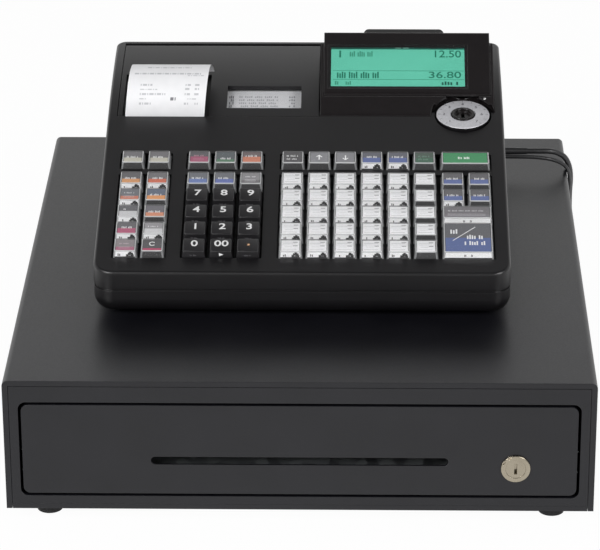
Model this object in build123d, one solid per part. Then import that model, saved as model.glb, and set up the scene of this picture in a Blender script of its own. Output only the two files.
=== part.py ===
from build123d import *
import os
from math import atan2, cos, degrees, pi, radians, sin, sqrt, tan

os.makedirs("parts", exist_ok=True)

# An electronic cash register that stands on a steel cash drawer.
# Millimetres. X is the width, Y runs from the front to the back, Z is up.
# The origin is on the floor under the middle of the drawer.

# ---- clearances
seat_gap = 0.3
running_clearance = 0.05
# How far a cutting shape runs past what it cuts, and how far merged pieces reach into each other.
overcut = 1.0
weld_overlap = 0.5
hair = 0.001

# ---- drawer casing
casing_width = 410.0
casing_depth = 450.0
casing_height = 99.0
casing_sheet = 1.5
casing_bend = 4.0
back_edge_round = 1.2
hem_width = 4.0
hem_depth = 14.0
base_flange = 12.0

# ---- rubber feet
foot_height = 12.0
foot_radius = 9.0
foot_top_radius = 10.0
foot_inset_side = 28.0
foot_inset_end = 24.0
low_foot_height = 3.0
low_foot_radius = 8.0
low_foot_inset_side = 24.0
low_foot_inset_end = 30.0

# ---- bezel round the drawer front
bezel_depth = 12.0
bezel_sheet = 1.5
opening_side = 10.5
opening_width = casing_width - 2 * opening_side
opening_bottom = 10.2
opening_height = 72.5
opening_round = 5.5

# ---- drawer front, slot and lock
front_gap = 2.0
front_depth = 14.0
front_sheet = 1.5
front_round = 5.0
slot_width = 206.4
slot_height = 6.0
slot_rise = 27.8
slot_margin = 1.0
lock_inset = 44.5
lock_offset = opening_width / 2 - lock_inset
lock_rise = 23.2
lock_ring_radius = 10.25
lock_ring_height = 1.5
lock_ring_round = 0.6
lock_body_radius = 9.5
lock_body_length = 24.0
lock_nut_radius = 12.5
lock_nut_height = 4.0
lock_notch = (3.0, 2.4, 1.6)
lock_notch_turns = (118, 150)
plug_radius = 7.0
plug_recess = 0.3
keyway_width = 2.0
keyway_length = 8.0
keyway_depth = 4.0
cam_reach = 26.0
cam_width = 8.0
cam_thickness = 2.0
cam_gap = 1.2
cam_slot_margin = 1.0
cam_slot_end = 2.0
keeper_half_width = 10.0
keeper_gap = 2.0

# ---- drawer box
box_side_gap = 3.0
box_width = opening_width - 2 * box_side_gap
latch_space = 38.5
box_length = casing_depth - casing_sheet - front_depth - latch_space
box_height = 61.7
box_sheet = 1.2
ledge_depth = 8.0
ledge_length = 30.0
ledge_rise = 13.4
ledge_inset = 10.0

# ---- rollers and runners
front_roller_radius = 6.0
front_roller_width = 8.0
front_roller_setback = 30.0
front_roller_inset = 15.0
front_roller_offset = box_width / 2 - front_roller_inset
rear_roller_radius = 7.0
rear_roller_width = 6.0
rear_roller_inset = 15.0
rear_roller_rise = 13.7
rear_roller_gap = 1.5
roller_pin_proud = 1.0
bracket_rise = 3.5
roller_bore = 2.1
runner_sheet = 1.5
runner_front_setback = 20.0
runner_back_gap = 13.5
runner_lip_gap = 2.0

# ---- till insert
insert_side_gap = 2.3
insert_front_gap = 19.8
insert_back_gap = 2.3
insert_height = 46.0
insert_wall = 2.0
insert_floor = 2.0
note_bay_length = 195.5
note_bays = 4
coin_rows = 2
pocket_round = 3.0

# ---- note clips
clip_shaft_radius = 2.5
clip_shaft_proud = 1.0
clip_axis_inset = 9.0
clip_axis_drop = 6.0
clip_hub_radius = 4.6
clip_hub_length = 16.0
clip_arm_length = 72.0
clip_arm_width = 10.0
clip_arm_thickness = 2.0
clip_pad_radius = 2.5

# ---- latch, solenoid and eject spring
striker_reach = 13.0
striker_half_width = 6.0
striker_plate = 2.5
striker_drop = 6.0
striker_rise = 25.7
striker_foot = 1.5
striker_foot_drop = 12.0
pivot_back_gap = 11.5
pivot_rise = 30.5
latch_pin_radius = 1.5
latch_barrel_radius = 3.0
latch_arm_half_width = 6.0
latch_arm_thickness = 2.0
latch_hook_height = 5.5
latch_hook_length = 4.4
latch_hook_gap = 1.1
latch_hook_inset = 1.0
latch_pin_proud = 1.0
solenoid_ear_inner = 9.0
solenoid_sheet = 1.5
solenoid_core_radius = 4.0
solenoid_coil_radius = 9.5
solenoid_coil_drop = 2.0
ear_back_reach = 5.0
ear_front_reach = 7.0
ear_rise = 5.0
spring_offset = 70.0
spring_rise = 30.0
spring_coil_radius = 8.0
spring_wire_radius = 0.9
spring_turns = 7
spigot_radius = 5.0
spigot_length = 18.0

# ---- fixing screws
screw_head_radius = 4.0
screw_head_height = 1.5
screw_head_round = 0.9
screw_shank_radius = 2.0
screw_length = 8.0
screw_hole_radius = 2.3
casing_screw_inset = 55.0
casing_screw_rise = 7.0
register_screw_inset = 29.0
register_screw_rise = 28.0

# ---- register cases
register_width = 298.0
register_front = -122.9
register_back = 170.0
front_rise = 33.4
front_band = 13.2
deck_angle = 15.3
deck_end = 50.0
deck_arc_radius = 570.0
front_corner = 14.0
back_corner = 8.0
case_wall = 2.5
top_edge_round = 2.2
seam_gap = 1.6
seam_lip = 1.2
seam_lip_depth = 2.0
lower_edge_flat = 6.6

# ---- keys
key_pitch_x = 19.4
key_pitch_u = 19.6
key_size = 17.8
key_top_width = 15.2
key_top_length = 14.4
key_top_shift = 1.1
key_height = 5.5
key_skirt = 3.2
key_round = 1.2
key_stem = 5.0
key_stem_length = 9.0
key_opening_gap = 0.8
stem_hole_gap = 0.3
first_key_row = 25.8
top_row_gap = 5.5
left_column = -126.7
middle_column = -77.6
right_column = -8.4
tender_column = 109.1
deck_fillet = 1.0

# ---- key guide plate and main board
guide_depth = 7.0
guide_thickness = 2.5
guide_left = -141.5
guide_right = 143.5
guide_front = 11.0
guide_back = 141.0
board_gap = 8.0
board_thickness = 1.6
pillar_radius = 2.0
pillar_margin = 5.0
pillar_back_inset = 3.0
chip_height = 3.0
# Each chip's place on the board (x, up the slope) and its length and width.
chips = [
    (-90.0, 60.0, 26.0, 26.0),
    (-20.0, 70.0, 34.0, 20.0),
    (60.0, 50.0, 20.0, 20.0),
    (105.0, 90.0, 30.0, 14.0),
]

# ---- printer cover
cover_left = -141.5
cover_right = 10.0
cover_front = 55.6
cover_hinge_back = 160.0
cover_gap = 0.6
cover_barrel_radius = 4.2
cover_pin_radius = 2.0
cover_pin_length = 4.6
cover_rib_depth = 6.0
cover_rib_width = 1.5
cover_rib_front = 3.0
cover_rib_back = 8.0
cover_rib_inset = 0.5
cover_lug_half = 5.0
cover_cut_depth = 20.0
recess_left = -138.0
recess_right = -72.6
recess_back = 112.0
recess_wall = 1.5
recess_drop = 7.4
window_left = -59.8
window_right = -3.6
window_middle = 80.75
window_length = 30.2
window_angle = 12.2
window_frame = 2.0
window_depth = 4.0
window_plate = 1.2

# ---- printer
printer_rise = 23.0
printer_plate = 2.0
printer_plate_rise = 69.0
printer_front = 53.0
printer_back = 158.0
printer_plates = (-141.5, -72.0, 2.5)
printer_leg_inset = 8.0
printer_leg_radius = 4.0
platen_y = 66.0
platen_rise = 58.0
platen_radius = 8.0
platen_shaft_radius = 2.5
platen_length = 60.0
platen_gear_radius = 6.5
platen_gear_width = 2.0
platen_gear_gap = 1.0
shaft_end_gap = 0.2
shaft_split = 1.2
receipt_middle = -106.3
journal_middle = -32.0
paper_width = 59.6
paper_thickness = 0.4
receipt_roll_radius = 25.0
receipt_roll_y = 128.0
journal_roll_radius = 24.0
journal_roll_y = 130.0
journal_roll_rise = 58.0
roll_core_radius = 6.0
spindle_radius = 2.5
receipt_start = 16.5
receipt_rise = 28.0
receipt_curl_radius = 25.5
receipt_curl_end = 25.0
journal_paper_gap = 1.2
journal_paper_overrun = 4.0
journal_paper_bend = 4.0

# ---- display
display_front = 56.0
display_angle = 28.0
display_left = 10.9
display_right = 142.3
display_bar = 20.3
display_gap = 1.0
display_side_wall = 2.2
display_floor_gap = 2.2
display_floor = 2.0
display_base_back = 140.0
display_well_rise = 72.0
display_well_setback = 5.3
display_well_length = 66.0
display_side_length = 52.0
display_sink = 15.0
display_back_rise = 9.0
display_skirt_inset = 5.0
display_underside_front = 6.0
display_mode_gap = 0.5
display_mode_rise = 3.2
head_length = 63.7
head_thickness = 14.0
head_front_round = 3.0
head_back_round = 1.2
head_side_gap = 0.3
head_wall = 1.8
head_front_web = 2.0
head_mode_gap = 1.0
tilt_pin_reach = 3.0
tilt_pin_gap = 0.2
tilt_pin_radius = 2.0
lens_left = 16.4
lens_right = 122.6
lens_front = 28.2
lens_back = 72.2
lens_border = 1.6
lens_thickness = 1.4
lens_recess = 0.2
lens_gap = 0.1
lcd_thickness = 2.5
lcd_post_inset = 10.0
lcd_post_radius = 3.0

# ---- customer display
customer_x = 74.7
customer_y = 150.0
customer_width = 62.0
customer_thickness = 13.0
customer_rise = 99.8
customer_height = 15.5
customer_round = 4.0
mast_radius = 5.0
mast_rise = 46.0
mast_guide_radius = 7.5
mast_guide_rise = 66.0

# ---- mode switch
mode_x = 118.5
mode_y = 57.7
mode_rise = 83.1
mode_angle = 10.0
mode_ring_radius = 20.0
mode_ring_height = 2.4
mode_well_radius = 21.4
mode_boss_radius = 23.5
mode_boss_depth = 7.0
mode_boss_drop = 2.5
mode_ring_tail = 1.0
mode_flange_height = 2.5
mode_sweep_gap = 2.2
rotor_radius = 8.5
rotor_height = 1.4
rotor_length = 14.0
rotor_slot_width = 2.4
rotor_slot_length = 10.0
rotor_slot_depth = 6.5
rotor_dish_depth = 2.5
rotor_rim = 1.5
rotor_dish_share = 0.75

# ---- cords
gland_y = 150.5
gland_rise = 13.6
gland_width = 15.0
gland_height = 8.6
gland_outer_x = 152.5
gland_inner_x = 140.0
gland_round = 2.0
gland_fit = 0.2
gland_cut = 5.0
cord_diameter = 4.4
lead_diameter = 3.0
relief_length = 20.0
relief_radius = 3.0
relief_tip_radius = 2.6
# The share of a route's shorter run that the arc at a corner may take.
corner_share = 0.45
lead_hole_gap = 0.6
coil_x = 150.0
coil_back_gap = 62.2
coil_mean_radius = 26.4
coil_turns_across = 2
coil_turns_high = 5
plug_length = 38.0
plug_width = 26.0
plug_height = 18.0
plug_round = 6.0
prong_length = 17.0
prong_spacing = 12.7
prong_width = 6.3
prong_thickness = 1.5

# ---- places worked out from the sizes above
half_width = casing_width / 2
front_y = -casing_depth / 2
back_y = casing_depth / 2
base_z = foot_height
base_top = base_z + casing_sheet
top_z = base_z + casing_height
inner_half = half_width - casing_sheet
inner_back = back_y - casing_sheet
inner_top = top_z - casing_sheet
casing_screw_offsets = [share * (half_width - casing_screw_inset) for share in (-1, -1 / 3, 1 / 3, 1)]

opening_z0 = base_z + opening_bottom
opening_z1 = opening_z0 + opening_height
panel_half = opening_width / 2 - front_gap
panel_z0 = opening_z0 + front_gap
panel_z1 = opening_z1 - front_gap
panel_back = front_y + front_depth
slot_z = opening_z0 + slot_rise
lock_z = opening_z0 + lock_rise

box_half = box_width / 2
box_inner_half = box_half - box_sheet
box_front = panel_back
box_inner_front = box_front + box_sheet
box_back = box_front + box_length
box_inner_back = box_back - box_sheet
front_roller_z = base_top + front_roller_radius + 2 * seat_gap
box_z0 = front_roller_z + front_roller_radius + seat_gap
box_floor = box_z0 + box_sheet
box_z1 = box_z0 + box_height
front_roller_y = front_y + front_roller_setback
rear_roller_y = box_back - rear_roller_inset
rear_roller_z = box_z0 + rear_roller_rise
rear_roller_x = box_half + rear_roller_gap

ledge_z = box_z0 + ledge_rise
insert_half = box_inner_half - insert_side_gap
insert_y0 = box_inner_front + insert_front_gap
insert_y1 = box_inner_back - insert_back_gap
insert_z0 = ledge_z + seat_gap
insert_z1 = insert_z0 + insert_height
insert_floor_z = insert_z0 + insert_floor
note_y0 = insert_y1 - insert_wall - note_bay_length
clip_y = insert_y1 - clip_axis_inset
clip_z = insert_z1 - clip_axis_drop

cam_y = front_y + lock_body_length + cam_gap
pivot_y = inner_back - pivot_back_gap
pivot_z = base_top + pivot_rise
striker_z = box_z0 + striker_rise
striker_back = box_back + striker_reach
hook_back = striker_back - striker_plate - latch_hook_gap
hook_front = hook_back - latch_hook_length
hook_top = striker_z - striker_drop - seat_gap * 2
arm_bottom = hook_top - latch_hook_height
core_top = arm_bottom - seat_gap

register_half = register_width / 2
register_screw_offsets = [share * (register_half - register_screw_inset) for share in (-1, 0, 1)]
register_bottom = top_z + low_foot_height
register_front_height = register_bottom + front_rise
seam_height = register_front_height - front_band
lower_edge_round = seam_height - seam_gap - register_bottom - lower_edge_flat
printer_floor = register_bottom + printer_rise
printer_plate_top = register_bottom + printer_plate_rise
platen_z = register_bottom + platen_rise
journal_roll_z = register_bottom + journal_roll_rise
display_well_bottom = register_bottom + display_well_rise
customer_bottom = register_bottom + customer_rise
customer_top = customer_bottom + customer_height
mast_bottom = register_bottom + mast_rise
mast_guide_bottom = register_bottom + mast_guide_rise
mode_z = register_bottom + mode_rise
gland_z = register_bottom + gland_rise
deck = Plane(
    origin=(0, register_front, register_front_height),
    x_dir=(1, 0, 0),
    z_dir=(0, -sin(radians(deck_angle)), cos(radians(deck_angle))),
)
deck_slope = tan(radians(deck_angle))
deck_end_z = register_front_height + (deck_end - register_front) * deck_slope
arc_y = deck_end + deck_arc_radius * sin(radians(deck_angle))
arc_z = deck_end_z - deck_arc_radius * cos(radians(deck_angle))

key_rows = [first_key_row + key_pitch_u * (5 - row) for row in range(1, 6)]
top_key_row = key_rows[0] + key_pitch_u + top_row_gap
guide_z1 = -guide_depth
guide_z0 = guide_z1 - guide_thickness
board_z1 = guide_z0 - board_gap
board_z0 = board_z1 - board_thickness


def surface_z(y, inset=0.0):
    """Height of the register's top skin at y, or of a surface inset below it."""
    if y <= deck_end:
        slope_inset = inset / cos(radians(deck_angle))
        return register_front_height + (y - register_front) * deck_slope - slope_inset
    radius = deck_arc_radius - inset
    return arc_z + sqrt(radius**2 - (y - arc_y) ** 2)


cover_hinge_z = surface_z(cover_hinge_back) - cover_barrel_radius
window_plane = Plane(
    origin=(0, window_middle, surface_z(window_middle)),
    x_dir=(1, 0, 0),
    z_dir=(0, -sin(radians(window_angle)), cos(radians(window_angle))),
)
display_plane = Plane(
    origin=(0, display_front, surface_z(display_front)),
    x_dir=(1, 0, 0),
    z_dir=(0, -sin(radians(display_angle)), cos(radians(display_angle))),
)
mode_plane = Plane(
    origin=(mode_x, mode_y, mode_z),
    x_dir=(1, 0, 0),
    z_dir=(0, -sin(radians(mode_angle)), cos(radians(mode_angle))),
)
head_front = display_bar + display_gap
head_back = head_front + head_length
head_left = display_left + display_side_wall + head_side_gap
head_right = display_right - display_side_wall - head_side_gap
tilt_u = head_front + head_front_round
tilt_n = -head_front_round
receipt_roll_z = printer_floor + printer_plate + receipt_roll_radius + seat_gap
paper_front = platen_y - platen_radius - seat_gap - paper_thickness / 2
coil_y = back_y + coil_back_gap
coil_outer_radius = coil_mean_radius + coil_turns_across * cord_diameter / 2
coil_inner_radius = coil_mean_radius - coil_turns_across * cord_diameter / 2
coil_height = coil_turns_high * cord_diameter
display_well_front = display_front + display_well_setback
display_well_back = display_well_front + display_well_length
# Heights below and above everything in the register, for shapes that cut or fill up to its skin.
under_skin = seam_height
over_skin = customer_top


def toward_back(share):
    """A distance back, as a share of the way from the cord gland to the casing's back."""
    return gland_y + share * (back_y - gland_y)


# Mains cord, from the tip of its strain relief, over the drawer's right edge and down to the floor.
cord_route = [
    (172.5, 153.5, gland_z + 1.4),
    (188.5, 153.5, gland_z + 1.4),
    (half_width - 2.0, toward_back(0.114), top_z + 13.5),
    (half_width + 7.6, toward_back(0.235), top_z + 0.3),
    (half_width + 10.0, toward_back(0.356), 92.0),
    (half_width + 10.7, toward_back(0.47), 68.0),
    (half_width + 10.4, toward_back(0.624), 45.0),
    (half_width + 9.8, toward_back(0.839), 23.0),
    (half_width + 7.5, back_y + 9.0, 8.5),
    (half_width - 4.5, back_y + 26.5, 2.3),
    (179.0, back_y + 33.5, 2.3),
    (coil_x + 2.0, back_y + 33.6, 2.3),
]
# The mains cord's tail, from the top of the coil to the plug.
tail_route = [
    (148.0, back_y + 33.6, 19.8),
    (126.0, back_y + 33.0, 18.0),
    (105.0, back_y + 29.5, 10.0),
    (84.0, back_y + 26.5, 3.6),
    (64.0, back_y + 24.5, 9.0),
    (47.0, back_y + 22.0, 9.0),
]
# Drawer lead, from the gland, over the same edge and round to a hole in the casing's back.
lead_route = [
    (gland_outer_x, 147.4, gland_z - 1.0),
    (gland_outer_x + 15.0, 147.4, gland_z - 1.0),
    (183.0, 150.0, gland_z - 2.0),
    (half_width - 6.5, toward_back(0.06), top_z + 11.2),
    (half_width + 5.2, toward_back(0.148), top_z + 0.2),
    (half_width + 6.6, toward_back(0.242), 93.0),
    (half_width + 2.6, toward_back(0.349), 74.0),
    (half_width + 2.0, toward_back(0.51), 57.0),
    (half_width + 2.4, toward_back(0.732), 44.0),
    (half_width + 3.5, back_y - 0.5, 37.0),
    (half_width + 2.5, back_y + 16.0, 34.5),
    (195.0, back_y + 27.0, 33.0),
    (178.5, back_y + 26.5, 34.0),
    (168.0, back_y + 13.5, 37.0),
    (167.5, back_y - 2.5, 37.0),
]


# ---- small helpers
def block(x0, x1, y0, y1, z0, z1):
    """A box between two corners."""
    return Pos((x0 + x1) / 2, (y0 + y1) / 2, (z0 + z1) / 2) * Box(x1 - x0, y1 - y0, z1 - z0)


def rod_x(x0, x1, y, z, radius):
    """A cylinder along X."""
    return Pos((x0 + x1) / 2, y, z) * Rot(0, 90, 0) * Cylinder(radius, x1 - x0)


def rod_y(y0, y1, x, z, radius):
    """A cylinder along Y."""
    return Pos(x, (y0 + y1) / 2, z) * Rot(90, 0, 0) * Cylinder(radius, y1 - y0)


def rod_z(z0, z1, x, y, radius):
    """A cylinder along Z."""
    return Pos(x, y, (z0 + z1) / 2) * Cylinder(radius, z1 - z0)


def tube_x(x0, x1, y, z, radius, bore):
    """A cylinder along X with a hole through it."""
    return rod_x(x0, x1, y, z, radius) - rod_x(x0 - overcut, x1 + overcut, y, z, bore)


def merged(pieces):
    """One shape made of overlapping or touching pieces."""
    result = pieces[0]
    for piece in pieces[1:]:
        result = result + piece
    return result


def group(pieces):
    """Separate solids kept in one node."""
    return Compound(children=[solid for piece in pieces for solid in piece.solids()])


def plan_prism(x_half, y0, y1, z0, z1, front_radius, back_radius):
    """An upright block with rounded front and back corners."""
    prism = block(-x_half, x_half, y0, y1, z0, z1)
    corners = prism.edges().filter_by(Axis.Z).sort_by(Axis.Y)
    prism = fillet(corners[:2], front_radius)
    corners = prism.edges().filter_by(Axis.Z).sort_by(Axis.Y)
    return fillet(corners[-2:], back_radius)


def skin_prism(inset, x0, x1, y0, y1, bottom):
    """The solid under the register's top skin, or under a surface inset below it."""
    radius = deck_arc_radius - inset
    start = (
        arc_y - radius * sin(radians(deck_angle)),
        arc_z + radius * cos(radians(deck_angle)),
    )
    end = (y1, surface_z(y1, inset))
    middle_y = (start[0] + end[0]) / 2
    middle = (middle_y, surface_z(max(middle_y, deck_end + hair), inset))
    if y0 < start[0]:
        first = (y0, surface_z(y0, inset))
        outline = Polyline(end, (y1, bottom), (y0, bottom), first, start)
    else:
        start = (y0, surface_z(y0, inset))
        outline = Polyline(end, (y1, bottom), (y0, bottom), start)
        middle_y = (y0 + y1) / 2
        middle = (middle_y, surface_z(middle_y, inset))
    outline = outline + ThreePointArc(start, middle, end)
    section = Plane.YZ * make_face(outline)
    return Pos(x0, 0, 0) * extrude(section, amount=x1 - x0)


def on_deck(shape):
    """Move a shape from deck coordinates (x, up the slope, off the deck) to its place."""
    return deck.location * shape


def screw_y(x, y, z):
    """A pan-head screw that goes in from the back: head outside, shank towards the front."""
    head = rod_y(y, y + screw_head_height, x, z, screw_head_radius)
    head = fillet(head.edges().sort_by(Axis.Y)[-1], screw_head_round)
    return head + rod_y(y - screw_length, y, x, z, screw_shank_radius)


# ---- drawer casing and base
def casing_screw_places():
    return [(x, base_z + casing_screw_rise) for x in casing_screw_offsets]


def drawer_casing():
    outer = block(-half_width, half_width, front_y, back_y, base_z, top_z)
    outer = fillet(outer.edges().filter_by(Axis.Y).group_by(Axis.Z)[-1], casing_bend)
    rim = outer.faces().sort_by(Axis.Y)[-1].edges()
    rim = [edge for edge in rim if edge.center().Z > base_z + overcut]
    outer = fillet(rim, back_edge_round)
    inner = block(-inner_half, inner_half, front_y - overcut, inner_back, base_z - overcut, inner_top)
    inner = fillet(inner.edges().filter_by(Axis.Y).group_by(Axis.Z)[-1], casing_bend - casing_sheet)
    hem = block(-inner_half, inner_half, front_y, front_y + hem_depth, base_z, inner_top)
    hem_hole = half_width - hem_width
    hem = hem - block(
        -hem_hole,
        hem_hole,
        front_y - overcut,
        front_y + hem_depth + overcut,
        base_z - overcut,
        top_z - hem_width,
    )
    casing = (outer - inner) + hem
    spigot_z = base_top + spring_rise
    casing = casing + rod_y(inner_back - spigot_length, inner_back, spring_offset, spigot_z, spigot_radius)
    for x, z in casing_screw_places():
        casing = casing - rod_y(inner_back - overcut, back_y + overcut, x, z, screw_hole_radius)
    lead_x, _, lead_z = lead_route[-1]
    lead_hole_radius = lead_diameter / 2 + lead_hole_gap
    return casing - rod_y(inner_back - overcut, back_y + overcut, lead_x, lead_z, lead_hole_radius)


def casing_base():
    half = inner_half - seat_gap
    back = inner_back - seat_gap
    pan = block(-half, half, front_y + hem_depth, back, base_z, base_top + base_flange)
    pan = pan - block(
        -half + casing_sheet, half - casing_sheet, front_y, back - casing_sheet, base_top, top_z
    )
    hem_half = half_width - hem_width - seat_gap
    hem = block(-hem_half, hem_half, front_y, front_y + hem_depth, base_z, base_z + hem_width)
    pieces = [pan, hem]
    for side in (-1, 1):
        pieces.append(front_roller_bracket(side))
    keeper_y = cam_y - casing_sheet - keeper_gap
    keeper = block(
        lock_offset - keeper_half_width,
        lock_offset + keeper_half_width,
        keeper_y - casing_sheet,
        keeper_y,
        base_top - weld_overlap,
        box_z0 - keeper_gap,
    )
    pieces.append(keeper)
    base = merged(pieces)
    for x, z in casing_screw_places():
        base = base - rod_y(back - casing_sheet - overcut, back + overcut, x, z, screw_hole_radius)
    return base


def front_roller_bracket(side):
    """An upright tab on the base with the pin that one front roller turns on."""
    inner = side * (front_roller_offset - front_roller_width / 2 - seat_gap)
    outer = side * (front_roller_offset + front_roller_width / 2 + seat_gap)
    tab_end = outer + side * casing_sheet
    tab = block(
        min(outer, tab_end),
        max(outer, tab_end),
        front_roller_y - front_roller_radius,
        front_roller_y + front_roller_radius,
        base_top - weld_overlap,
        front_roller_z + bracket_rise,
    )
    pin_radius = roller_bore - running_clearance
    pin = rod_x(min(inner, outer), max(inner, outer), front_roller_y, front_roller_z, pin_radius)
    return tab + pin


def casing_bezel():
    half = half_width - hem_width - seat_gap
    z0 = base_z + hem_width
    z1 = top_z - hem_width - seat_gap
    back = front_y + bezel_depth
    frame = block(-half, half, front_y, back, z0, z1)
    channel = block(
        -half + bezel_sheet,
        half - bezel_sheet,
        front_y + bezel_sheet,
        back + overcut,
        z0 + bezel_sheet,
        z1 - bezel_sheet,
    )
    collar = bezel_opening(bezel_sheet, front_y, back)
    hole = bezel_opening(0, front_y - overcut, back + overcut)
    return (frame - channel) + collar - hole


def bezel_opening(extra, y0, y1):
    """The rounded opening for the drawer front, or the collar round it, as a solid."""
    half = opening_width / 2 + extra
    return rounded_panel(half, opening_z0 - extra, opening_z1 + extra, y0, y1, opening_round + extra)


def rounded_panel(half, z0, z1, y0, y1, radius):
    """An upright plate with four rounded corners."""
    plate = block(-half, half, y0, y1, z0, z1)
    return fillet(plate.edges().filter_by(Axis.Y), radius)


def rubber_feet():
    feet = []
    for x in (-half_width + foot_inset_side, half_width - foot_inset_side):
        for y in (front_y + foot_inset_end, back_y - foot_inset_end):
            foot = Pos(x, y, foot_height / 2) * Cone(foot_radius, foot_top_radius, foot_height)
            feet.append(foot)
    for x in (-register_half + low_foot_inset_side, register_half - low_foot_inset_side):
        for y in (register_front + low_foot_inset_end, register_back - low_foot_inset_end):
            feet.append(rod_z(top_z, register_bottom, x, y, low_foot_radius))
    return group(feet)


def fixing_screws():
    screws = [screw_y(x, back_y, z) for x, z in casing_screw_places()]
    for x in register_screw_offsets:
        screws.append(screw_y(x, register_back, seam_height + register_screw_rise))
    return group(screws)


def drawer_runners():
    rails = []
    z0 = rear_roller_z - rear_roller_radius - seat_gap
    z1 = rear_roller_z + rear_roller_radius + seat_gap
    y0 = front_y + runner_front_setback
    y1 = inner_back - runner_back_gap
    for side in (-1, 1):
        lip = side * (box_half + runner_lip_gap)
        web = side * inner_half
        rail = block(min(lip, web), max(lip, web), y0, y1, z0 - runner_sheet, z1 + runner_sheet)
        slot_end = web - side * runner_sheet
        cut_start = lip - side * overcut
        cut = block(
            min(cut_start, slot_end), max(cut_start, slot_end), y0 - overcut, y1 + overcut, z0, z1
        )
        rails.append(rail - cut)
    return group(rails)


# ---- drawer
def lock_hole(y0, y1, extra):
    return rod_y(y0, y1, lock_offset, lock_z, lock_body_radius + extra)


def deposit_slot(extra, y0, y1):
    """The round-ended slot for cheques and notes, as a solid to cut away."""
    outline = SlotOverall(slot_width + 2 * extra, slot_height + 2 * extra)
    solid = extrude(outline, amount=(y1 - y0) / 2, both=True)
    return Pos(0, (y0 + y1) / 2, slot_z) * Rot(90, 0, 0) * solid


def drawer_front():
    panel = rounded_panel(panel_half, panel_z0, panel_z1, front_y, panel_back, front_round)
    hollow = rounded_panel(
        panel_half - front_sheet,
        panel_z0 + front_sheet,
        panel_z1 - front_sheet,
        front_y + front_sheet,
        panel_back + overcut,
        front_round - front_sheet,
    )
    panel = panel - hollow
    panel = panel - deposit_slot(0, front_y - overcut, front_y + front_sheet + overcut)
    return panel - lock_hole(front_y - overcut, front_y + front_sheet + overcut, running_clearance)


def drawer_box():
    tray = block(-box_half, box_half, box_front, box_back, box_z0, box_z1)
    tray = tray - block(
        -box_inner_half, box_inner_half, box_inner_front, box_inner_back, box_floor, box_z1 + overcut
    )
    tray = tray - deposit_slot(slot_margin, box_front - overcut, box_inner_front + overcut)
    tray = tray - lock_hole(box_front - overcut, box_inner_front + overcut, running_clearance)
    cam_slot = block(
        lock_offset - cam_reach + cam_slot_end,
        lock_offset + cam_width / 2 + cam_slot_margin,
        cam_y - cam_slot_margin,
        cam_y + cam_thickness + cam_slot_margin,
        box_z0 - overcut,
        box_floor + overcut,
    )
    pieces = [tray - cam_slot] + insert_ledges()
    for side in (-1, 1):
        pin_end = side * (rear_roller_x + rear_roller_width + roller_pin_proud)
        start = side * (box_half - box_sheet / 2)
        pin_radius = roller_bore - running_clearance
        pieces.append(
            rod_x(min(start, pin_end), max(start, pin_end), rear_roller_y, rear_roller_z, pin_radius)
        )
    return group([merged(pieces), striker()])


def insert_ledges():
    """Four shelves on the drawer's sides that carry the till insert."""
    ledges = []
    for side in (-1, 1):
        wall = side * (box_inner_half + box_sheet / 2)
        edge = side * (box_inner_half - ledge_depth)
        for y0 in (insert_y0 + ledge_inset, insert_y1 - ledge_inset - ledge_length):
            ledges.append(
                block(min(wall, edge), max(wall, edge), y0, y0 + ledge_length, ledge_z - box_sheet, ledge_z)
            )
    return ledges


def striker():
    """The bracket welded to the drawer's back wall, with the hooked arm that the latch catches."""
    foot = block(
        -striker_half_width,
        striker_half_width,
        box_back,
        box_back + striker_foot,
        striker_z - striker_foot_drop,
        striker_z + striker_plate,
    )
    arm = block(
        -striker_half_width,
        striker_half_width,
        box_back,
        striker_back,
        striker_z,
        striker_z + striker_plate,
    )
    tab = block(
        -striker_half_width,
        striker_half_width,
        striker_back - striker_plate,
        striker_back,
        striker_z - striker_drop,
        striker_z + striker_plate,
    )
    return merged([foot, arm, tab])


def pockets():
    """The insert's coin cups and note bays as (x0, x1, y0, y1)."""
    cells = []
    pitch = (2 * insert_half - insert_wall) / note_bays
    coin_y0 = insert_y0 + insert_wall
    coin_pitch = (note_y0 - coin_y0) / coin_rows
    for column in range(note_bays):
        x0 = -insert_half + insert_wall + column * pitch
        x1 = x0 + pitch - insert_wall
        cells.append((x0, x1, note_y0, note_y0 + note_bay_length))
        for row in range(coin_rows):
            y0 = coin_y0 + row * coin_pitch
            cells.append((x0, x1, y0, y0 + coin_pitch - insert_wall))
    return cells


def till_insert():
    insert = block(-insert_half, insert_half, insert_y0, insert_y1, insert_z0, insert_z1)
    for x0, x1, y0, y1 in pockets():
        cell = block(x0, x1, y0, y1, insert_floor_z, insert_z1 + overcut)
        insert = insert - fillet(cell.edges().filter_by(Axis.Z), pocket_round)
    bore = clip_shaft_radius + running_clearance
    return insert - rod_x(-insert_half - overcut, insert_half + overcut, clip_y, clip_z, bore)


def clip_shaft():
    half = insert_half + clip_shaft_proud
    return rod_x(-half, half, clip_y, clip_z, clip_shaft_radius)


def note_clip(x):
    """A hub on the shaft with an arm that leans down to the bay's floor."""
    drop = clip_z - (insert_floor_z + seat_gap + clip_pad_radius)
    angle = degrees(atan2(drop, sqrt(clip_arm_length**2 - drop**2)))
    arm = Pos(0, -clip_arm_length / 2, 0) * Box(clip_arm_width, clip_arm_length, clip_arm_thickness)
    pad = Pos(0, -clip_arm_length, 0) * Rot(0, 90, 0) * Cylinder(clip_pad_radius, clip_arm_width)
    clip = Rot(angle, 0, 0) * (arm + pad)
    clip = clip + Rot(0, 90, 0) * Cylinder(clip_hub_radius, clip_hub_length)
    clip = clip - Rot(0, 90, 0) * Cylinder(clip_shaft_radius + running_clearance, 2 * clip_hub_length)
    return Pos(x, clip_y, clip_z) * clip


def note_clips():
    bays = [cell for cell in pockets() if cell[2] == note_y0]
    return group([note_clip((x0 + x1) / 2) for x0, x1, _, _ in bays])


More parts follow.
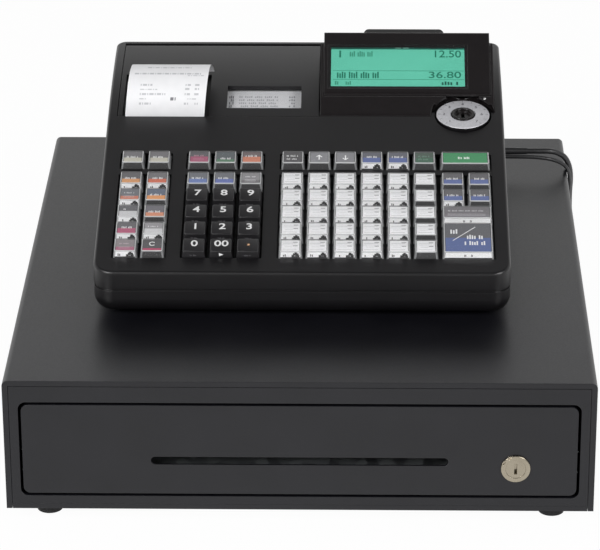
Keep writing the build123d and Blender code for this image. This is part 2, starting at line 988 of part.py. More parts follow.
def lock_barrel():
    ring_front = front_y - lock_ring_height
    ring = rod_y(ring_front, front_y, lock_offset, lock_z, lock_ring_radius)
    ring = fillet(ring.edges().sort_by(Axis.Y)[0], lock_ring_round)
    body_front = front_y - weld_overlap
    body = rod_y(body_front, front_y + lock_body_length, lock_offset, lock_z, lock_body_radius)
    nut = rod_y(box_inner_front, box_inner_front + lock_nut_height, lock_offset, lock_z, lock_nut_radius)
    barrel = ring + body + nut
    for turn in lock_notch_turns:
        notch = Pos(lock_ring_radius, 0, 0) * Box(*lock_notch)
        barrel = barrel - Pos(lock_offset, ring_front, lock_z) * Rot(90, 0, 0) * Rot(0, 0, turn) * notch
    bore = plug_radius + running_clearance
    bore_back = front_y + lock_body_length + overcut
    return barrel - rod_y(ring_front - overcut, bore_back, lock_offset, lock_z, bore)


def lock_plug():
    face = front_y - lock_ring_height + plug_recess
    plug = rod_y(face, cam_y + cam_thickness / 2, lock_offset, lock_z, plug_radius)
    cam = block(
        lock_offset - cam_reach,
        lock_offset,
        cam_y,
        cam_y + cam_thickness,
        lock_z - cam_width / 2,
        lock_z + cam_width / 2,
    )
    cam = cam + rod_y(cam_y, cam_y + cam_thickness, lock_offset, lock_z, plug_radius)
    keyway = block(
        lock_offset - keyway_width / 2,
        lock_offset + keyway_width / 2,
        face - overcut,
        face + keyway_depth,
        lock_z - keyway_length / 2,
        lock_z + keyway_length / 2,
    )
    return plug + cam - keyway


def front_rollers():
    half = front_roller_width / 2
    rollers = []
    for side in (-1, 1):
        middle = side * front_roller_offset
        x0, x1 = middle - half, middle + half
        rollers.append(tube_x(x0, x1, front_roller_y, front_roller_z, front_roller_radius, roller_bore))
    return group(rollers)


def rear_rollers():
    rollers = []
    for side in (-1, 1):
        a = side * rear_roller_x
        b = side * (rear_roller_x + rear_roller_width)
        rollers.append(
            tube_x(min(a, b), max(a, b), rear_roller_y, rear_roller_z, rear_roller_radius, roller_bore)
        )
    return group(rollers)


# ---- latch
def latch_lever():
    arm = block(
        -latch_arm_half_width,
        latch_arm_half_width,
        hook_front,
        pivot_y,
        arm_bottom,
        arm_bottom + latch_arm_thickness,
    )
    hook_half = latch_arm_half_width - latch_hook_inset
    hook = block(-hook_half, hook_half, hook_front, hook_back, arm_bottom, hook_top)
    barrel = rod_x(-latch_arm_half_width, latch_arm_half_width, pivot_y, pivot_z, latch_barrel_radius)
    web = block(
        -latch_arm_half_width,
        latch_arm_half_width,
        pivot_y - latch_barrel_radius,
        pivot_y,
        arm_bottom,
        pivot_z,
    )
    pin_half = solenoid_ear_inner + solenoid_sheet + latch_pin_proud
    pin = rod_x(-pin_half, pin_half, pivot_y, pivot_z, latch_pin_radius)
    return merged([arm, hook, barrel, web, pin])


def solenoid():
    ear_back = pivot_y + ear_back_reach
    ear_front = pivot_y - ear_front_reach
    core_y = (hook_back + pivot_y - latch_barrel_radius) / 2
    foot = block(
        -solenoid_ear_inner - solenoid_sheet,
        solenoid_ear_inner + solenoid_sheet,
        core_y - solenoid_coil_radius,
        ear_back,
        base_top,
        base_top + solenoid_sheet,
    )
    pieces = [foot]
    for side in (-1, 1):
        inner = side * solenoid_ear_inner
        outer = side * (solenoid_ear_inner + solenoid_sheet)
        ear_top = pivot_z + ear_rise
        ear = block(min(inner, outer), max(inner, outer), ear_front, ear_back, base_top, ear_top)
        pin_half = 2 * solenoid_ear_inner
        bore = latch_pin_radius + running_clearance
        pieces.append(ear - rod_x(-pin_half, pin_half, pivot_y, pivot_z, bore))
    coil_radius = min(solenoid_coil_radius, solenoid_ear_inner - seat_gap)
    pieces.append(rod_z(base_top, core_top, 0, core_y, solenoid_core_radius))
    pieces.append(rod_z(base_top + solenoid_sheet, core_top - solenoid_coil_drop, 0, core_y, coil_radius))
    return merged(pieces)


def eject_spring():
    start = box_back + spring_wire_radius + seat_gap
    end = inner_back - spring_wire_radius - seat_gap
    helix = Helix(pitch=(end - start) / spring_turns, height=end - start, radius=spring_coil_radius)
    wire = sweep(Plane(origin=helix @ 0, z_dir=helix % 0) * Circle(spring_wire_radius), path=helix)
    return Pos(spring_offset, end, base_top + spring_rise) * Rot(90, 0, 0) * wire


# ---- register cases
def register_prism(inset, z0, z1):
    return plan_prism(
        register_half - inset,
        register_front + inset,
        register_back - inset,
        z0,
        z1,
        front_corner - inset,
        back_corner - inset,
    )


def key_columns(first, count):
    return [first + key_pitch_x * column for column in range(count)]


def key_openings():
    """The deck's openings for the keys, as (x0, x1, u0, u1) in deck coordinates."""
    margin = key_size / 2 + key_opening_gap
    spans = [
        (left_column, left_column + key_pitch_x),
        (middle_column, middle_column + 2 * key_pitch_x),
        (right_column, tender_column + key_pitch_x),
    ]
    openings = []
    for x0, x1 in spans:
        openings.append((x0 - margin, x1 + margin, key_rows[-1] - margin, key_rows[0] + margin))
        openings.append((x0 - margin, x1 + margin, top_key_row - margin, top_key_row + margin))
    return openings


def gland_hole():
    half_y = gland_width / 2 + gland_fit
    half_z = gland_height / 2 + gland_fit
    return block(
        gland_inner_x - gland_cut,
        gland_outer_x + gland_cut,
        gland_y - half_y,
        gland_y + half_y,
        gland_z - half_z,
        gland_z + half_z,
    )


def lower_case():
    outer = register_prism(0, register_bottom, seam_height - seam_gap)
    outer = fillet(outer.faces().sort_by(Axis.Z)[0].edges(), lower_edge_round)
    inner = register_prism(case_wall, register_bottom + case_wall, seam_height + overcut)
    inner = fillet(inner.faces().sort_by(Axis.Z)[0].edges(), lower_edge_round - case_wall)
    lip_outer = case_wall - seam_lip
    lip = register_prism(lip_outer, seam_height - seam_gap - seam_lip_depth, seam_height)
    return (outer + lip) - inner - gland_hole()


def display_opening():
    """The deck's opening for the part of the display base that goes below it."""
    return block(
        display_left - seat_gap,
        display_right + seat_gap,
        display_well_front - seat_gap,
        display_well_back + seat_gap,
        under_skin,
        over_skin,
    )


def mode_cylinder(radius, n0, n1):
    return mode_plane.location * Pos(0, 0, (n0 + n1) / 2) * Cylinder(radius, n1 - n0)


def cover_lugs():
    """The two ears inside the upper case that hold the printer cover's pins."""
    left_wall = -register_half + case_wall - weld_overlap
    right_ear = cover_right + cover_gap + seat_gap
    spans = [(left_wall, cover_left - cover_gap - seat_gap), (right_ear, right_ear + cover_pin_length)]
    front = cover_hinge_back - cover_lug_half
    back = cover_hinge_back + cover_lug_half
    return [
        skin_prism(case_wall / 2, x0, x1, front, back, cover_hinge_z - cover_lug_half) for x0, x1 in spans
    ]


def cover_pin_holes():
    """The blind holes in the ears for the printer cover's pins."""
    bore = cover_pin_radius + running_clearance
    depth = cover_pin_length + seat_gap
    left = rod_x(cover_left - depth, cover_left, cover_hinge_back, cover_hinge_z, bore)
    right = rod_x(cover_right, cover_right + depth, cover_hinge_back, cover_hinge_z, bore)
    return [left, right]


def cover_opening():
    return block(
        cover_left - cover_gap,
        cover_right + cover_gap,
        cover_front - cover_gap,
        cover_hinge_back + cover_barrel_radius + cover_gap,
        cover_hinge_z - cover_cut_depth,
        over_skin,
    )


def upper_case():
    below_seam = seam_height - overcut
    outer = skin_prism(0, -register_half, register_half, register_front, register_back, seam_height)
    outer = outer & register_prism(0, seam_height, over_skin)
    top_edges = [
        edge
        for edge in outer.edges()
        if edge.center().Z > seam_height + top_edge_round and not edge_is_upright(edge)
    ]
    outer = fillet(top_edges, top_edge_round)
    inner_front = register_front + case_wall
    inner_back_wall = register_back - case_wall
    inner = skin_prism(case_wall, -register_half, register_half, inner_front, inner_back_wall, below_seam)
    inner = inner & register_prism(case_wall, below_seam, over_skin)
    case = outer - inner
    for x0, x1, u0, u1 in key_openings():
        hole = block(x0, x1, u0, u1, -case_wall - overcut, overcut)
        hole = fillet(hole.edges().filter_by(Axis.Z), deck_fillet)
        case = case - on_deck(hole)
    case = case - cover_opening() - display_opening()
    case = case + mode_cylinder(mode_boss_radius, -mode_boss_depth, -mode_boss_drop)
    case = case - mode_cylinder(mode_well_radius, -mode_boss_depth - overcut, mode_boss_depth)
    case = merged([case] + cover_lugs()) - cover_pin_holes()
    guide_top = surface_z(customer_y) - case_wall / 2
    case = case + rod_z(mast_guide_bottom, guide_top, customer_x, customer_y, mast_guide_radius)
    mast_bore = mast_radius + running_clearance
    case = case - rod_z(mast_guide_bottom - overcut, over_skin, customer_x, customer_y, mast_bore)
    screw_z = seam_height + register_screw_rise
    for x in register_screw_offsets:
        case = case - rod_y(inner_back_wall - overcut, register_back + overcut, x, screw_z, screw_hole_radius)
    return case


def edge_is_upright(edge):
    run = (edge @ 1) - (edge @ 0)
    return abs(run.Z) > top_edge_round and abs(run.X) < running_clearance and abs(run.Y) < running_clearance


# ---- keys
def key_cap(columns=1, rows=1):
    """A key in its own coordinates, with its footprint's middle at the origin of the deck plane."""
    extra_x = (columns - 1) * key_pitch_x
    extra_u = (rows - 1) * key_pitch_u
    base = RectangleRounded(key_size + extra_x, key_size + extra_u, key_round)
    top = RectangleRounded(key_top_width + extra_x, key_top_length + extra_u, key_round)
    crown = loft([base, Pos(0, -key_top_shift, key_height) * top])
    skirt = extrude(base, amount=-key_skirt)
    cap = crown + skirt
    stem = Pos(0, 0, -key_skirt - key_stem_length / 2) * Box(key_stem, key_stem, key_stem_length)
    for row in range(rows):
        for column in range(columns):
            x = column * key_pitch_x - extra_x / 2
            u = row * key_pitch_u - extra_u / 2
            cap = cap + Pos(x, u, 0) * stem
    return cap


single_key = key_cap()


def key_at(x, u, cap=None):
    return on_deck(Pos(x, u, 0) * (single_key if cap is None else cap))


def key_field(columns, rows):
    return [key_at(x, u) for u in rows for x in columns]


left_columns = key_columns(left_column, 2)
middle_columns = key_columns(middle_column, 3)
right_columns = key_columns(right_column, 6)
tender_columns = key_columns(tender_column, 2)
tender_middle = (tender_columns[0] + tender_columns[1]) / 2


def number_keys():
    """The twelve keys of the number pad, each in its own node."""
    keys = {}
    rows = [("7", "8", "9"), ("4", "5", "6"), ("1", "2", "3"), ("0", "00", "point")]
    for row, names in zip(key_rows[1:], rows):
        for x, name in zip(middle_columns, names):
            keys["key_" + name] = key_at(x, row)
    return keys


def department_keys():
    return group(key_field(right_columns, key_rows))


def function_keys():
    """The left block, and the middle block's keys above the number pad."""
    keys = key_field(left_columns, [top_key_row] + key_rows)
    keys += key_field(middle_columns, [top_key_row, key_rows[0]])
    return group(keys)


def service_keys():
    """The right block's top row with its wide key, and the four small keys beside the departments."""
    keys = key_field(right_columns, [top_key_row])
    keys.append(key_at(tender_middle, top_key_row, key_cap(2)))
    keys += key_field(tender_columns, key_rows[:2])
    return group(keys)


def key_subtotal():
    return key_at(tender_middle, key_rows[2], key_cap(2))


def key_cash():
    return key_at(tender_middle, (key_rows[3] + key_rows[4]) / 2, key_cap(2, 2))


def stem_places():
    """Where every key stem passes the guide plate."""
    all_columns = left_columns + middle_columns + right_columns + tender_columns
    return [(x, u) for x in all_columns for u in [top_key_row] + key_rows]


def pillar_columns():
    """The gaps beside and between the key blocks, where the guide plate is held."""
    margin = key_size / 2
    left_edge = left_columns[0] - margin
    right_edge = tender_columns[-1] + margin
    return [
        left_edge - pillar_margin,
        (left_columns[-1] + middle_columns[0]) / 2,
        (middle_columns[-1] + right_columns[0]) / 2,
        right_edge + pillar_margin,
    ]


def key_guide_plate():
    plate = block(guide_left, guide_right, guide_front, guide_back, guide_z0, guide_z1)
    side = key_stem / 2 + stem_hole_gap
    hole = block(-side, side, -side, side, guide_z0 - overcut, guide_z1 + overcut)
    plate = plate - [Pos(x, u, 0) * hole for x, u in stem_places()]
    for x in pillar_columns():
        for u in (key_rows[-1], key_rows[2], top_key_row - pillar_back_inset):
            plate = plate + rod_z(guide_z1 - weld_overlap, -case_wall, x, u, pillar_radius)
            plate = plate + rod_z(board_z1, guide_z0 + weld_overlap, x, u, pillar_radius)
    return on_deck(plate)


def main_board():
    board = block(guide_left, guide_right, guide_front, guide_back, board_z0, board_z1)
    for x, u, length, width in chips:
        x0, u0 = x - length / 2, u - width / 2
        board = board + block(x0, x0 + length, u0, u0 + width, board_z0 - chip_height, board_z0)
    return on_deck(board)


# ---- printer
def printer_cover():
    left, right = cover_left - overcut, cover_right + overcut
    front, back = cover_front - overcut, cover_hinge_back + overcut
    cover = skin_prism(0, cover_left, cover_right, cover_front, cover_hinge_back, under_skin)
    cover = cover - skin_prism(case_wall, left, right, front, back, under_skin - overcut)
    cover = cover + rod_x(cover_left, cover_right, cover_hinge_back, cover_hinge_z, cover_barrel_radius)
    middle_rib = (recess_right + window_left) / 2
    right_rib = cover_right - cover_rib_inset - cover_rib_width
    for x in (cover_left + cover_rib_inset, middle_rib, right_rib):
        cover = cover + cover_rib(x)
    recess_top = over_skin
    cover = cover - block(recess_left, recess_right, front, recess_back, under_skin, recess_top)
    cover = cover + receipt_recess()
    cover = cover + window_collar() - window_cut()
    left_pin = (cover_left - cover_pin_length, cover_left + overcut)
    right_pin = (cover_right - overcut, cover_right + cover_pin_length)
    for x0, x1 in (left_pin, right_pin):
        cover = cover + rod_x(x0, x1, cover_hinge_back, cover_hinge_z, cover_pin_radius)
    return cover


def cover_rib(x):
    """A stiffening rib under the cover's skin, from near its front edge to near its hinge."""
    front = cover_front + cover_rib_front
    back = cover_hinge_back - cover_rib_back
    rib = skin_prism(case_wall / 2, x, x + cover_rib_width, front, back, under_skin)
    below = skin_prism(
        case_wall + cover_rib_depth,
        x - overcut,
        x + cover_rib_width + overcut,
        cover_front,
        cover_hinge_back,
        under_skin - overcut,
    )
    return rib - below


def receipt_recess():
    """The sloping tray behind the paper slot, with its two side walls."""
    front = paper_front + paper_thickness / 2 + seat_gap
    back = recess_back + overcut
    low = surface_z(front) - recess_drop
    high = surface_z(recess_back) - case_wall
    floor = Polyline(
        (front, low), (back, high), (back, high - recess_wall), (front, low - recess_wall), close=True
    )
    tray_width = recess_right - recess_left + 2 * recess_wall
    tray = Pos(recess_left - recess_wall, 0, 0) * extrude(Plane.YZ * make_face(floor), amount=tray_width)
    side = Polyline(
        (front, low - recess_wall),
        (back, high - recess_wall),
        (back, surface_z(recess_back) - case_wall / 2),
        (front, surface_z(front) - case_wall / 2),
        close=True,
    )
    for x0 in (recess_left - recess_wall, recess_right):
        tray = tray + Pos(x0, 0, 0) * extrude(Plane.YZ * make_face(side), amount=recess_wall)
    return tray


def window_collar():
    half = window_length / 2 + window_frame
    left = window_left - window_frame
    right = window_right + window_frame
    return window_plane.location * block(left, right, -half, half, -window_depth, -case_wall / 2)


def window_cut():
    half = window_length / 2
    bottom = -window_depth - overcut
    return window_plane.location * block(window_left, window_right, -half, half, bottom, window_depth)


def journal_window():
    half = window_length / 2 + window_frame
    plate = block(
        window_left - window_frame,
        window_right + window_frame,
        -half,
        half,
        -window_depth - window_plate,
        -window_depth,
    )
    return window_plane.location * plate


def printer_frame():
    top = printer_floor + printer_plate
    left = printer_plates[0]
    right = printer_plates[-1] + printer_plate
    frame = block(left, right, printer_front, printer_back, printer_floor, top)
    for x in printer_plates:
        x1 = x + printer_plate
        frame = frame + block(x, x1, printer_front, printer_back, top - weld_overlap, printer_plate_top)
    leg_top = printer_floor + weld_overlap
    for x in (left + printer_leg_inset, right - printer_leg_inset):
        for y in (printer_front + printer_leg_inset, printer_back - printer_leg_inset):
            frame = frame + rod_z(register_bottom + case_wall, leg_top, x, y, printer_leg_radius)
    shaft = platen_shaft_radius + running_clearance
    frame = frame - rod_x(left - overcut, right + overcut, platen_y, platen_z, shaft)
    spindle = spindle_radius + running_clearance
    spindle_left = printer_plates[1] - overcut
    return frame - rod_x(spindle_left, right + overcut, journal_roll_y, journal_roll_z, spindle)


def platen(middle, plate_left, plate_right):
    """A rubber roller on its shaft, with a drive gear at its left end."""
    half = platen_length / 2
    roller = rod_x(middle - half, middle + half, platen_y, platen_z, platen_radius)
    shaft_left = plate_left + shaft_end_gap
    shaft_right = plate_right + printer_plate - shaft_end_gap
    shaft = rod_x(shaft_left, shaft_right, platen_y, platen_z, platen_shaft_radius)
    gear_x = middle - half - platen_gear_gap
    gear = rod_x(gear_x - platen_gear_width, gear_x, platen_y, platen_z, platen_gear_radius)
    return roller + shaft + gear


def receipt_platen():
    return platen(receipt_middle, printer_plates[0], printer_plates[1] - shaft_split)


def journal_platen():
    return platen(journal_middle, printer_plates[1] + shaft_split, printer_plates[2])


def receipt_roll():
    half = paper_width / 2
    x0, x1 = receipt_middle - half, receipt_middle + half
    return tube_x(x0, x1, receipt_roll_y, receipt_roll_z, receipt_roll_radius, roll_core_radius)


def journal_roll():
    half = paper_width / 2
    x0, x1 = journal_middle - half, journal_middle + half
    roll = rod_x(x0, x1, journal_roll_y, journal_roll_z, journal_roll_radius)
    left = printer_plates[1] + shaft_end_gap
    right = printer_plates[2] + printer_plate - shaft_end_gap
    return roll + rod_x(left, right, journal_roll_y, journal_roll_z, spindle_radius)


def paper_sheet(path, middle):
    """A strip of paper that follows a path in the YZ plane."""
    section = Plane.YZ * trace(path, paper_thickness)
    return Pos(middle - paper_width / 2, 0, 0) * extrude(section, amount=paper_width)


def receipt_paper():
    bend_z = platen_z + receipt_rise
    centre_y = paper_front + receipt_curl_radius
    top = (centre_y, bend_z + receipt_curl_radius)
    end_angle = radians(receipt_curl_end)
    end = (
        centre_y + receipt_curl_radius * cos(end_angle),
        bend_z + receipt_curl_radius * sin(end_angle),
    )
    start = (paper_front, bend_z)
    path = Line((paper_front, platen_z + receipt_start), start) + ThreePointArc(start, top, end)
    return paper_sheet(path, receipt_middle)


def journal_paper():
    depth = window_depth + window_plate + journal_paper_gap
    slope = tan(radians(window_angle))
    middle_z = surface_z(window_middle) - depth / cos(radians(window_angle))
    front_z = middle_z + (paper_front - window_middle) * slope
    back = window_middle + window_length / 2 + journal_paper_overrun
    back_z = middle_z + (back - window_middle) * slope
    roll_top = journal_roll_z + journal_roll_radius + seat_gap + paper_thickness / 2
    path = FilletPolyline(
        (paper_front, platen_z),
        (paper_front, front_z),
        (back, back_z),
        (journal_roll_y, roll_top),
        radius=journal_paper_bend,
    )
    return paper_sheet(path, journal_middle)


# ---- display
def display_point(u, n):
    """A place on the display's sloping plane, as (y, z)."""
    place = display_plane.from_local_coords((0, u, n))
    return (place.Y, place.Z)


def display_base():
    left, right = display_left - overcut, display_right + overcut
    skin_back = register_back - display_skirt_inset
    front_z = surface_z(display_front)
    back_z = surface_z(display_base_back)
    outline = Polyline(
        (display_front, front_z - display_sink),
        (display_front, front_z),
        display_point(head_front + display_side_length, 0),
        (display_base_back, back_z + display_back_rise),
        (display_base_back, back_z - display_sink),
        close=True,
    )
    width = display_right - display_left
    body = Pos(display_left, 0, 0) * extrude(Plane.YZ * make_face(outline), amount=width)
    body = body - skin_prism(0, left, right, register_front, skin_back, under_skin)
    well_top = surface_z(display_well_back)
    well = block(
        display_left, display_right, display_well_front, display_well_back, display_well_bottom, well_top
    )
    well = well & skin_prism(-overcut, left, right, register_front, skin_back, under_skin)
    base = body + well
    cavity = block(
        display_left + display_side_wall,
        display_right - display_side_wall,
        display_bar,
        2 * head_back,
        -head_thickness - display_floor_gap,
        head_back,
    )
    base = base - display_plane.location * cavity
    base = base - display_underside()
    base = base - mode_cylinder(mode_boss_radius + display_mode_gap, -mode_ring_radius, display_mode_rise)
    base = base - mode_cylinder(mode_well_radius, 0, 2 * mode_ring_radius)
    y, z = display_point(tilt_u, tilt_n)
    return base - rod_x(left, right, y, z, tilt_pin_radius + running_clearance)


def display_underside():
    """The hollow below the display base's floor and inside its walls."""
    hollow = block(
        display_left + display_side_wall,
        display_right - display_side_wall,
        display_bar - display_underside_front,
        2 * head_back,
        -head_back,
        -head_thickness - display_floor_gap - display_floor,
    )
    limit = block(
        display_left,
        display_right,
        display_well_front + display_floor,
        display_base_back - display_floor,
        under_skin,
        over_skin,
    )
    return (display_plane.location * hollow) & limit


def display_head():
    shell = block(head_left, head_right, head_front, head_back, -head_thickness, 0)
    shell = fillet(shell.edges().filter_by(Axis.X).group_by(Axis.Z)[-1].sort_by(Axis.Y)[0], head_front_round)
    shell = fillet(shell.edges().filter_by(Axis.X).group_by(Axis.Z)[-1].sort_by(Axis.Y)[-1], head_back_round)
    under_lens = -lens_thickness - lens_recess
    cavity = block(
        head_left + head_wall,
        head_right - head_wall,
        head_front + head_wall + head_front_web,
        head_back - head_wall,
        -head_thickness + head_wall,
        under_lens - head_wall,
    )
    rebate = block(lens_left, lens_right, lens_front, lens_back, under_lens, overcut)
    window = block(
        lens_left + lens_border,
        lens_right - lens_border,
        lens_front + lens_border,
        lens_back - lens_border,
        -head_thickness + head_wall,
        overcut,
    )
    shell = display_plane.location * (shell - cavity - rebate - window)
    ring_room = mode_boss_radius + head_mode_gap
    shell = shell - mode_cylinder(ring_room, -mode_ring_radius, mode_ring_height + mode_sweep_gap)
    y, z = display_point(tilt_u, tilt_n)
    left_pin = (display_left + tilt_pin_gap, head_left + tilt_pin_reach)
    right_pin = (head_right - tilt_pin_reach, display_right - tilt_pin_gap)
    for x0, x1 in (left_pin, right_pin):
        shell = shell + rod_x(x0, x1, y, z, tilt_pin_radius)
    return shell


def display_window():
    lens = block(
        lens_left + lens_gap,
        lens_right - lens_gap,
        lens_front + lens_gap,
        lens_back - lens_gap,
        -lens_thickness - lens_recess,
        -lens_recess,
    )
    return display_plane.location * lens


def lcd_panel():
    top = -lens_thickness - lens_recess - seat_gap
    bottom = top - lcd_thickness
    inner = lens_border + seat_gap
    panel = block(lens_left + inner, lens_right - inner, lens_front + inner, lens_back - inner, bottom, top)
    floor = -head_thickness + head_wall
    middle = (lens_front + lens_back) / 2
    for x in (lens_left + lcd_post_inset, lens_right - lcd_post_inset):
        panel = panel + rod_z(floor, bottom + weld_overlap, x, middle, lcd_post_radius)
    return display_plane.location * panel


def customer_display():
    half = customer_width / 2
    body = block(
        customer_x - half,
        customer_x + half,
        customer_y - customer_thickness / 2,
        customer_y + customer_thickness / 2,
        customer_bottom,
        customer_top,
    )
    body = fillet(body.edges().filter_by(Axis.Y).group_by(Axis.Z)[-1], customer_round)
    mast_top = customer_bottom + weld_overlap
    return body + rod_z(mast_bottom, mast_top, customer_x, customer_y, mast_radius)


# ---- mode switch
def mode_ring():
    ring = mode_cylinder(mode_ring_radius, -mode_boss_depth - mode_ring_tail, mode_ring_height)
    ring = ring + mode_cylinder(mode_boss_radius, -mode_boss_depth - mode_flange_height, -mode_boss_depth)
    return ring - mode_cylinder(rotor_radius + running_clearance, -mode_ring_radius, mode_ring_radius)


def mode_rotor():
    rotor = mode_cylinder(rotor_radius, -rotor_length, rotor_height)
    dish = mode_plane.location * Pos(0, 0, rotor_height) * Sphere(rotor_radius * rotor_dish_share)
    dish_limit = mode_cylinder(rotor_radius - rotor_rim, rotor_height - rotor_dish_depth, 2 * rotor_height)
    slot = block(
        -rotor_slot_width / 2,
        rotor_slot_width / 2,
        -rotor_slot_length / 2,
        rotor_slot_length / 2,
        rotor_height - rotor_slot_depth,
        2 * rotor_height,
    )
    return rotor - (dish & dish_limit) - mode_plane.location * slot


# ---- cords
def corner_radii(points):
    """The largest arc that each corner of a cord's route leaves room for."""
    radii = []
    for before, corner, after in zip(points, points[1:], points[2:]):
        run_in = Vector(*corner) - Vector(*before)
        run_out = Vector(*after) - Vector(*corner)
        turn = radians(run_in.get_angle(run_out))
        radii.append(corner_share * min(run_in.length, run_out.length) / tan(turn / 2))
    return radii


def cord_tube(name, points, diameter):
    """A round cord along straight runs joined by tangent arcs."""
    radii = corner_radii(points)
    path = FilletPolyline(*points, radius=radii)
    section = Plane(origin=path @ 0, z_dir=path % 0) * Circle(diameter / 2)
    tube = sweep(section, path=path)
    expected = pi * diameter**2 / 4 * path.length
    print(name, "radii", [round(radius, 1) for radius in radii], "length", round(path.length, 1))
    print(name, "volume ratio", round(tube.volume / expected, 4))
    return tube


def cord_gland():
    gland = block(
        gland_inner_x,
        gland_outer_x,
        gland_y - gland_width / 2,
        gland_y + gland_width / 2,
        gland_z - gland_height / 2,
        gland_z + gland_height / 2,
    )
    gland = fillet(gland.edges().filter_by(Axis.X), gland_round)
    tip = cord_route[0]
    base_x = tip[0] - relief_length
    sleeve = Pos(base_x + relief_length / 2, tip[1], tip[2]) * Rot(0, 90, 0) * Cone(
        relief_radius, relief_tip_radius, relief_length
    )
    return gland + sleeve


def power_cord():
    main = cord_tube("power_cord", cord_route, cord_diameter)
    tail = cord_tube("power_cord tail", tail_route, cord_diameter)
    return group([main, tail])


def drawer_lead():
    return cord_tube("drawer_lead", lead_route, lead_diameter)


def cord_coil():
    ring = rod_z(0, coil_height, coil_x, coil_y, coil_outer_radius)
    return ring - rod_z(-overcut, coil_height + overcut, coil_x, coil_y, coil_inner_radius)


def power_plug():
    end = Vector(*tail_route[-1])
    aim = (end - Vector(*tail_route[-2])).normalized()
    angle = degrees(atan2(aim.Y, aim.X))
    body = Pos(plug_length / 2, 0, 0) * Box(plug_length, plug_width, plug_height)
    body = fillet(body.edges().filter_by(Axis.X), plug_round)
    for side in (-1, 1):
        prong = Pos(plug_length + prong_length / 2, side * prong_spacing / 2, 0)
        body = body + prong * Box(prong_length, prong_thickness, prong_width)
    return Pos(end.X, end.Y, plug_height / 2) * Rot(0, 0, angle) * body


nodes = {
    "drawer_casing": drawer_casing(),
    "casing_base": casing_base(),
    "casing_bezel": casing_bezel(),
    "rubber_feet": rubber_feet(),
    "fixing_screws": fixing_screws(),
    "drawer_runners": drawer_runners(),
    "drawer_front": drawer_front(),
    "drawer_box": drawer_box(),
    "till_insert": till_insert(),
    "clip_shaft": clip_shaft(),
    "note_clips": note_clips(),
    "lock_barrel": lock_barrel(),
    "lock_plug": lock_plug(),
    "front_rollers": front_rollers(),
    "rear_rollers": rear_rollers(),
    "latch_lever": latch_lever(),
    "solenoid": solenoid(),
    "eject_spring": eject_spring(),
    "lower_case": lower_case(),
    "upper_case": upper_case(),
    "printer_cover": printer_cover(),
    "journal_window": journal_window(),
    "printer_frame": printer_frame(),
    "receipt_platen": receipt_platen(),
    "journal_platen": journal_platen(),
    "receipt_roll": receipt_roll(),
    "journal_roll": journal_roll(),
    "receipt_paper": receipt_paper(),
    "journal_paper": journal_paper(),
    "display_base": display_base(),
    "display_head": display_head(),
    "display_window": display_window(),
    "lcd_panel": lcd_panel(),
    "customer_display": customer_display(),
    "mode_ring": mode_ring(),
    "mode_rotor": mode_rotor(),
    "key_guide_plate": key_guide_plate(),
    "main_board": main_board(),
    "department_keys": department_keys(),
    "function_keys": function_keys(),
    "service_keys": service_keys(),
    "key_subtotal": key_subtotal(),
    "key_cash": key_cash(),
    "cord_gland": cord_gland(),
    "power_cord": power_cord(),
    "cord_coil": cord_coil(),
    "power_plug": power_plug(),
    "drawer_lead": drawer_lead(),
}
nodes.update(number_keys())

for name, shape in nodes.items():
    export_step(shape, "parts/" + name + ".step")
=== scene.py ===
import math

import bmesh
import bpy
from mathutils import Matrix, Vector


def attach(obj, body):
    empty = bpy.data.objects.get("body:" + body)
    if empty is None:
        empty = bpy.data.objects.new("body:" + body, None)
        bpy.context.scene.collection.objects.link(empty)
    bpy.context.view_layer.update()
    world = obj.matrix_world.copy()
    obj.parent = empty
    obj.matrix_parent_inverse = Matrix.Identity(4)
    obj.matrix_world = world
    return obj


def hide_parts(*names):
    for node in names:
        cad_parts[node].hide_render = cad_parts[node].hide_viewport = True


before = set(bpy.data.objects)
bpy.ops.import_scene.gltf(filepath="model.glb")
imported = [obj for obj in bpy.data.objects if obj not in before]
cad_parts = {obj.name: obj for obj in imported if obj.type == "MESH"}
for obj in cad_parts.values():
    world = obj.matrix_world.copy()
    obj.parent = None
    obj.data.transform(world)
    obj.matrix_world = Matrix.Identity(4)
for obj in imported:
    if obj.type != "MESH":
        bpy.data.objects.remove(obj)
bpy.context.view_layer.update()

# An electronic cash register on a steel cash drawer. The frame's pieces are in metres;
# the register's own parts are modelled in millimetres on the sloping planes that carry them.
MM = 0.001

# ---- driving sizes, in millimetres
DECK_ORIGIN = (0.0, -122.9, 147.4)
DECK_ANGLE = 15.3
DISPLAY_ORIGIN = (0.0, 56.0, 196.32)
DISPLAY_ANGLE = 28.0
MODE_ORIGIN = (118.5, 57.7, 197.1)
MODE_ANGLE = 10.0

PITCH_X = 19.4
PITCH_U = 19.6
CAP_SIZE = 17.8
CAP_TOP_X = 15.2
CAP_TOP_U = 14.4
CAP_SHIFT = 1.1
CAP_HEIGHT = 5.5
CAP_SKIRT = 3.2
CAP_WALL = 0.7
CAP_CORNER = 1.2
CAP_EDGE = 0.7
STEM_SIZE = 5.0
STEM_LENGTH = 9.0

LEFT_COLUMN = -126.7
MIDDLE_COLUMN = -77.6
RIGHT_COLUMN = -8.4
TENDER_COLUMN = 109.1
FRONT_ROW = 25.8
ROWS = [FRONT_ROW + PITCH_U * (4 - row) for row in range(5)]
TOP_ROW = ROWS[0] + PITCH_U + 5.5


def columns(first, count):
    """The middles of a run of key columns."""
    return [first + PITCH_X * column for column in range(count)]


def sloping_frame(origin, angle):
    """Takes millimetres on a sloping plane (across, up it, off it) to metres in the frame."""
    tilt = Matrix.Rotation(math.radians(angle), 4, "X")
    return Matrix.Scale(MM, 4) @ Matrix.Translation(origin) @ tilt


DECK = sloping_frame(DECK_ORIGIN, DECK_ANGLE)
DISPLAY = sloping_frame(DISPLAY_ORIGIN, DISPLAY_ANGLE)
MODE = sloping_frame(MODE_ORIGIN, MODE_ANGLE)


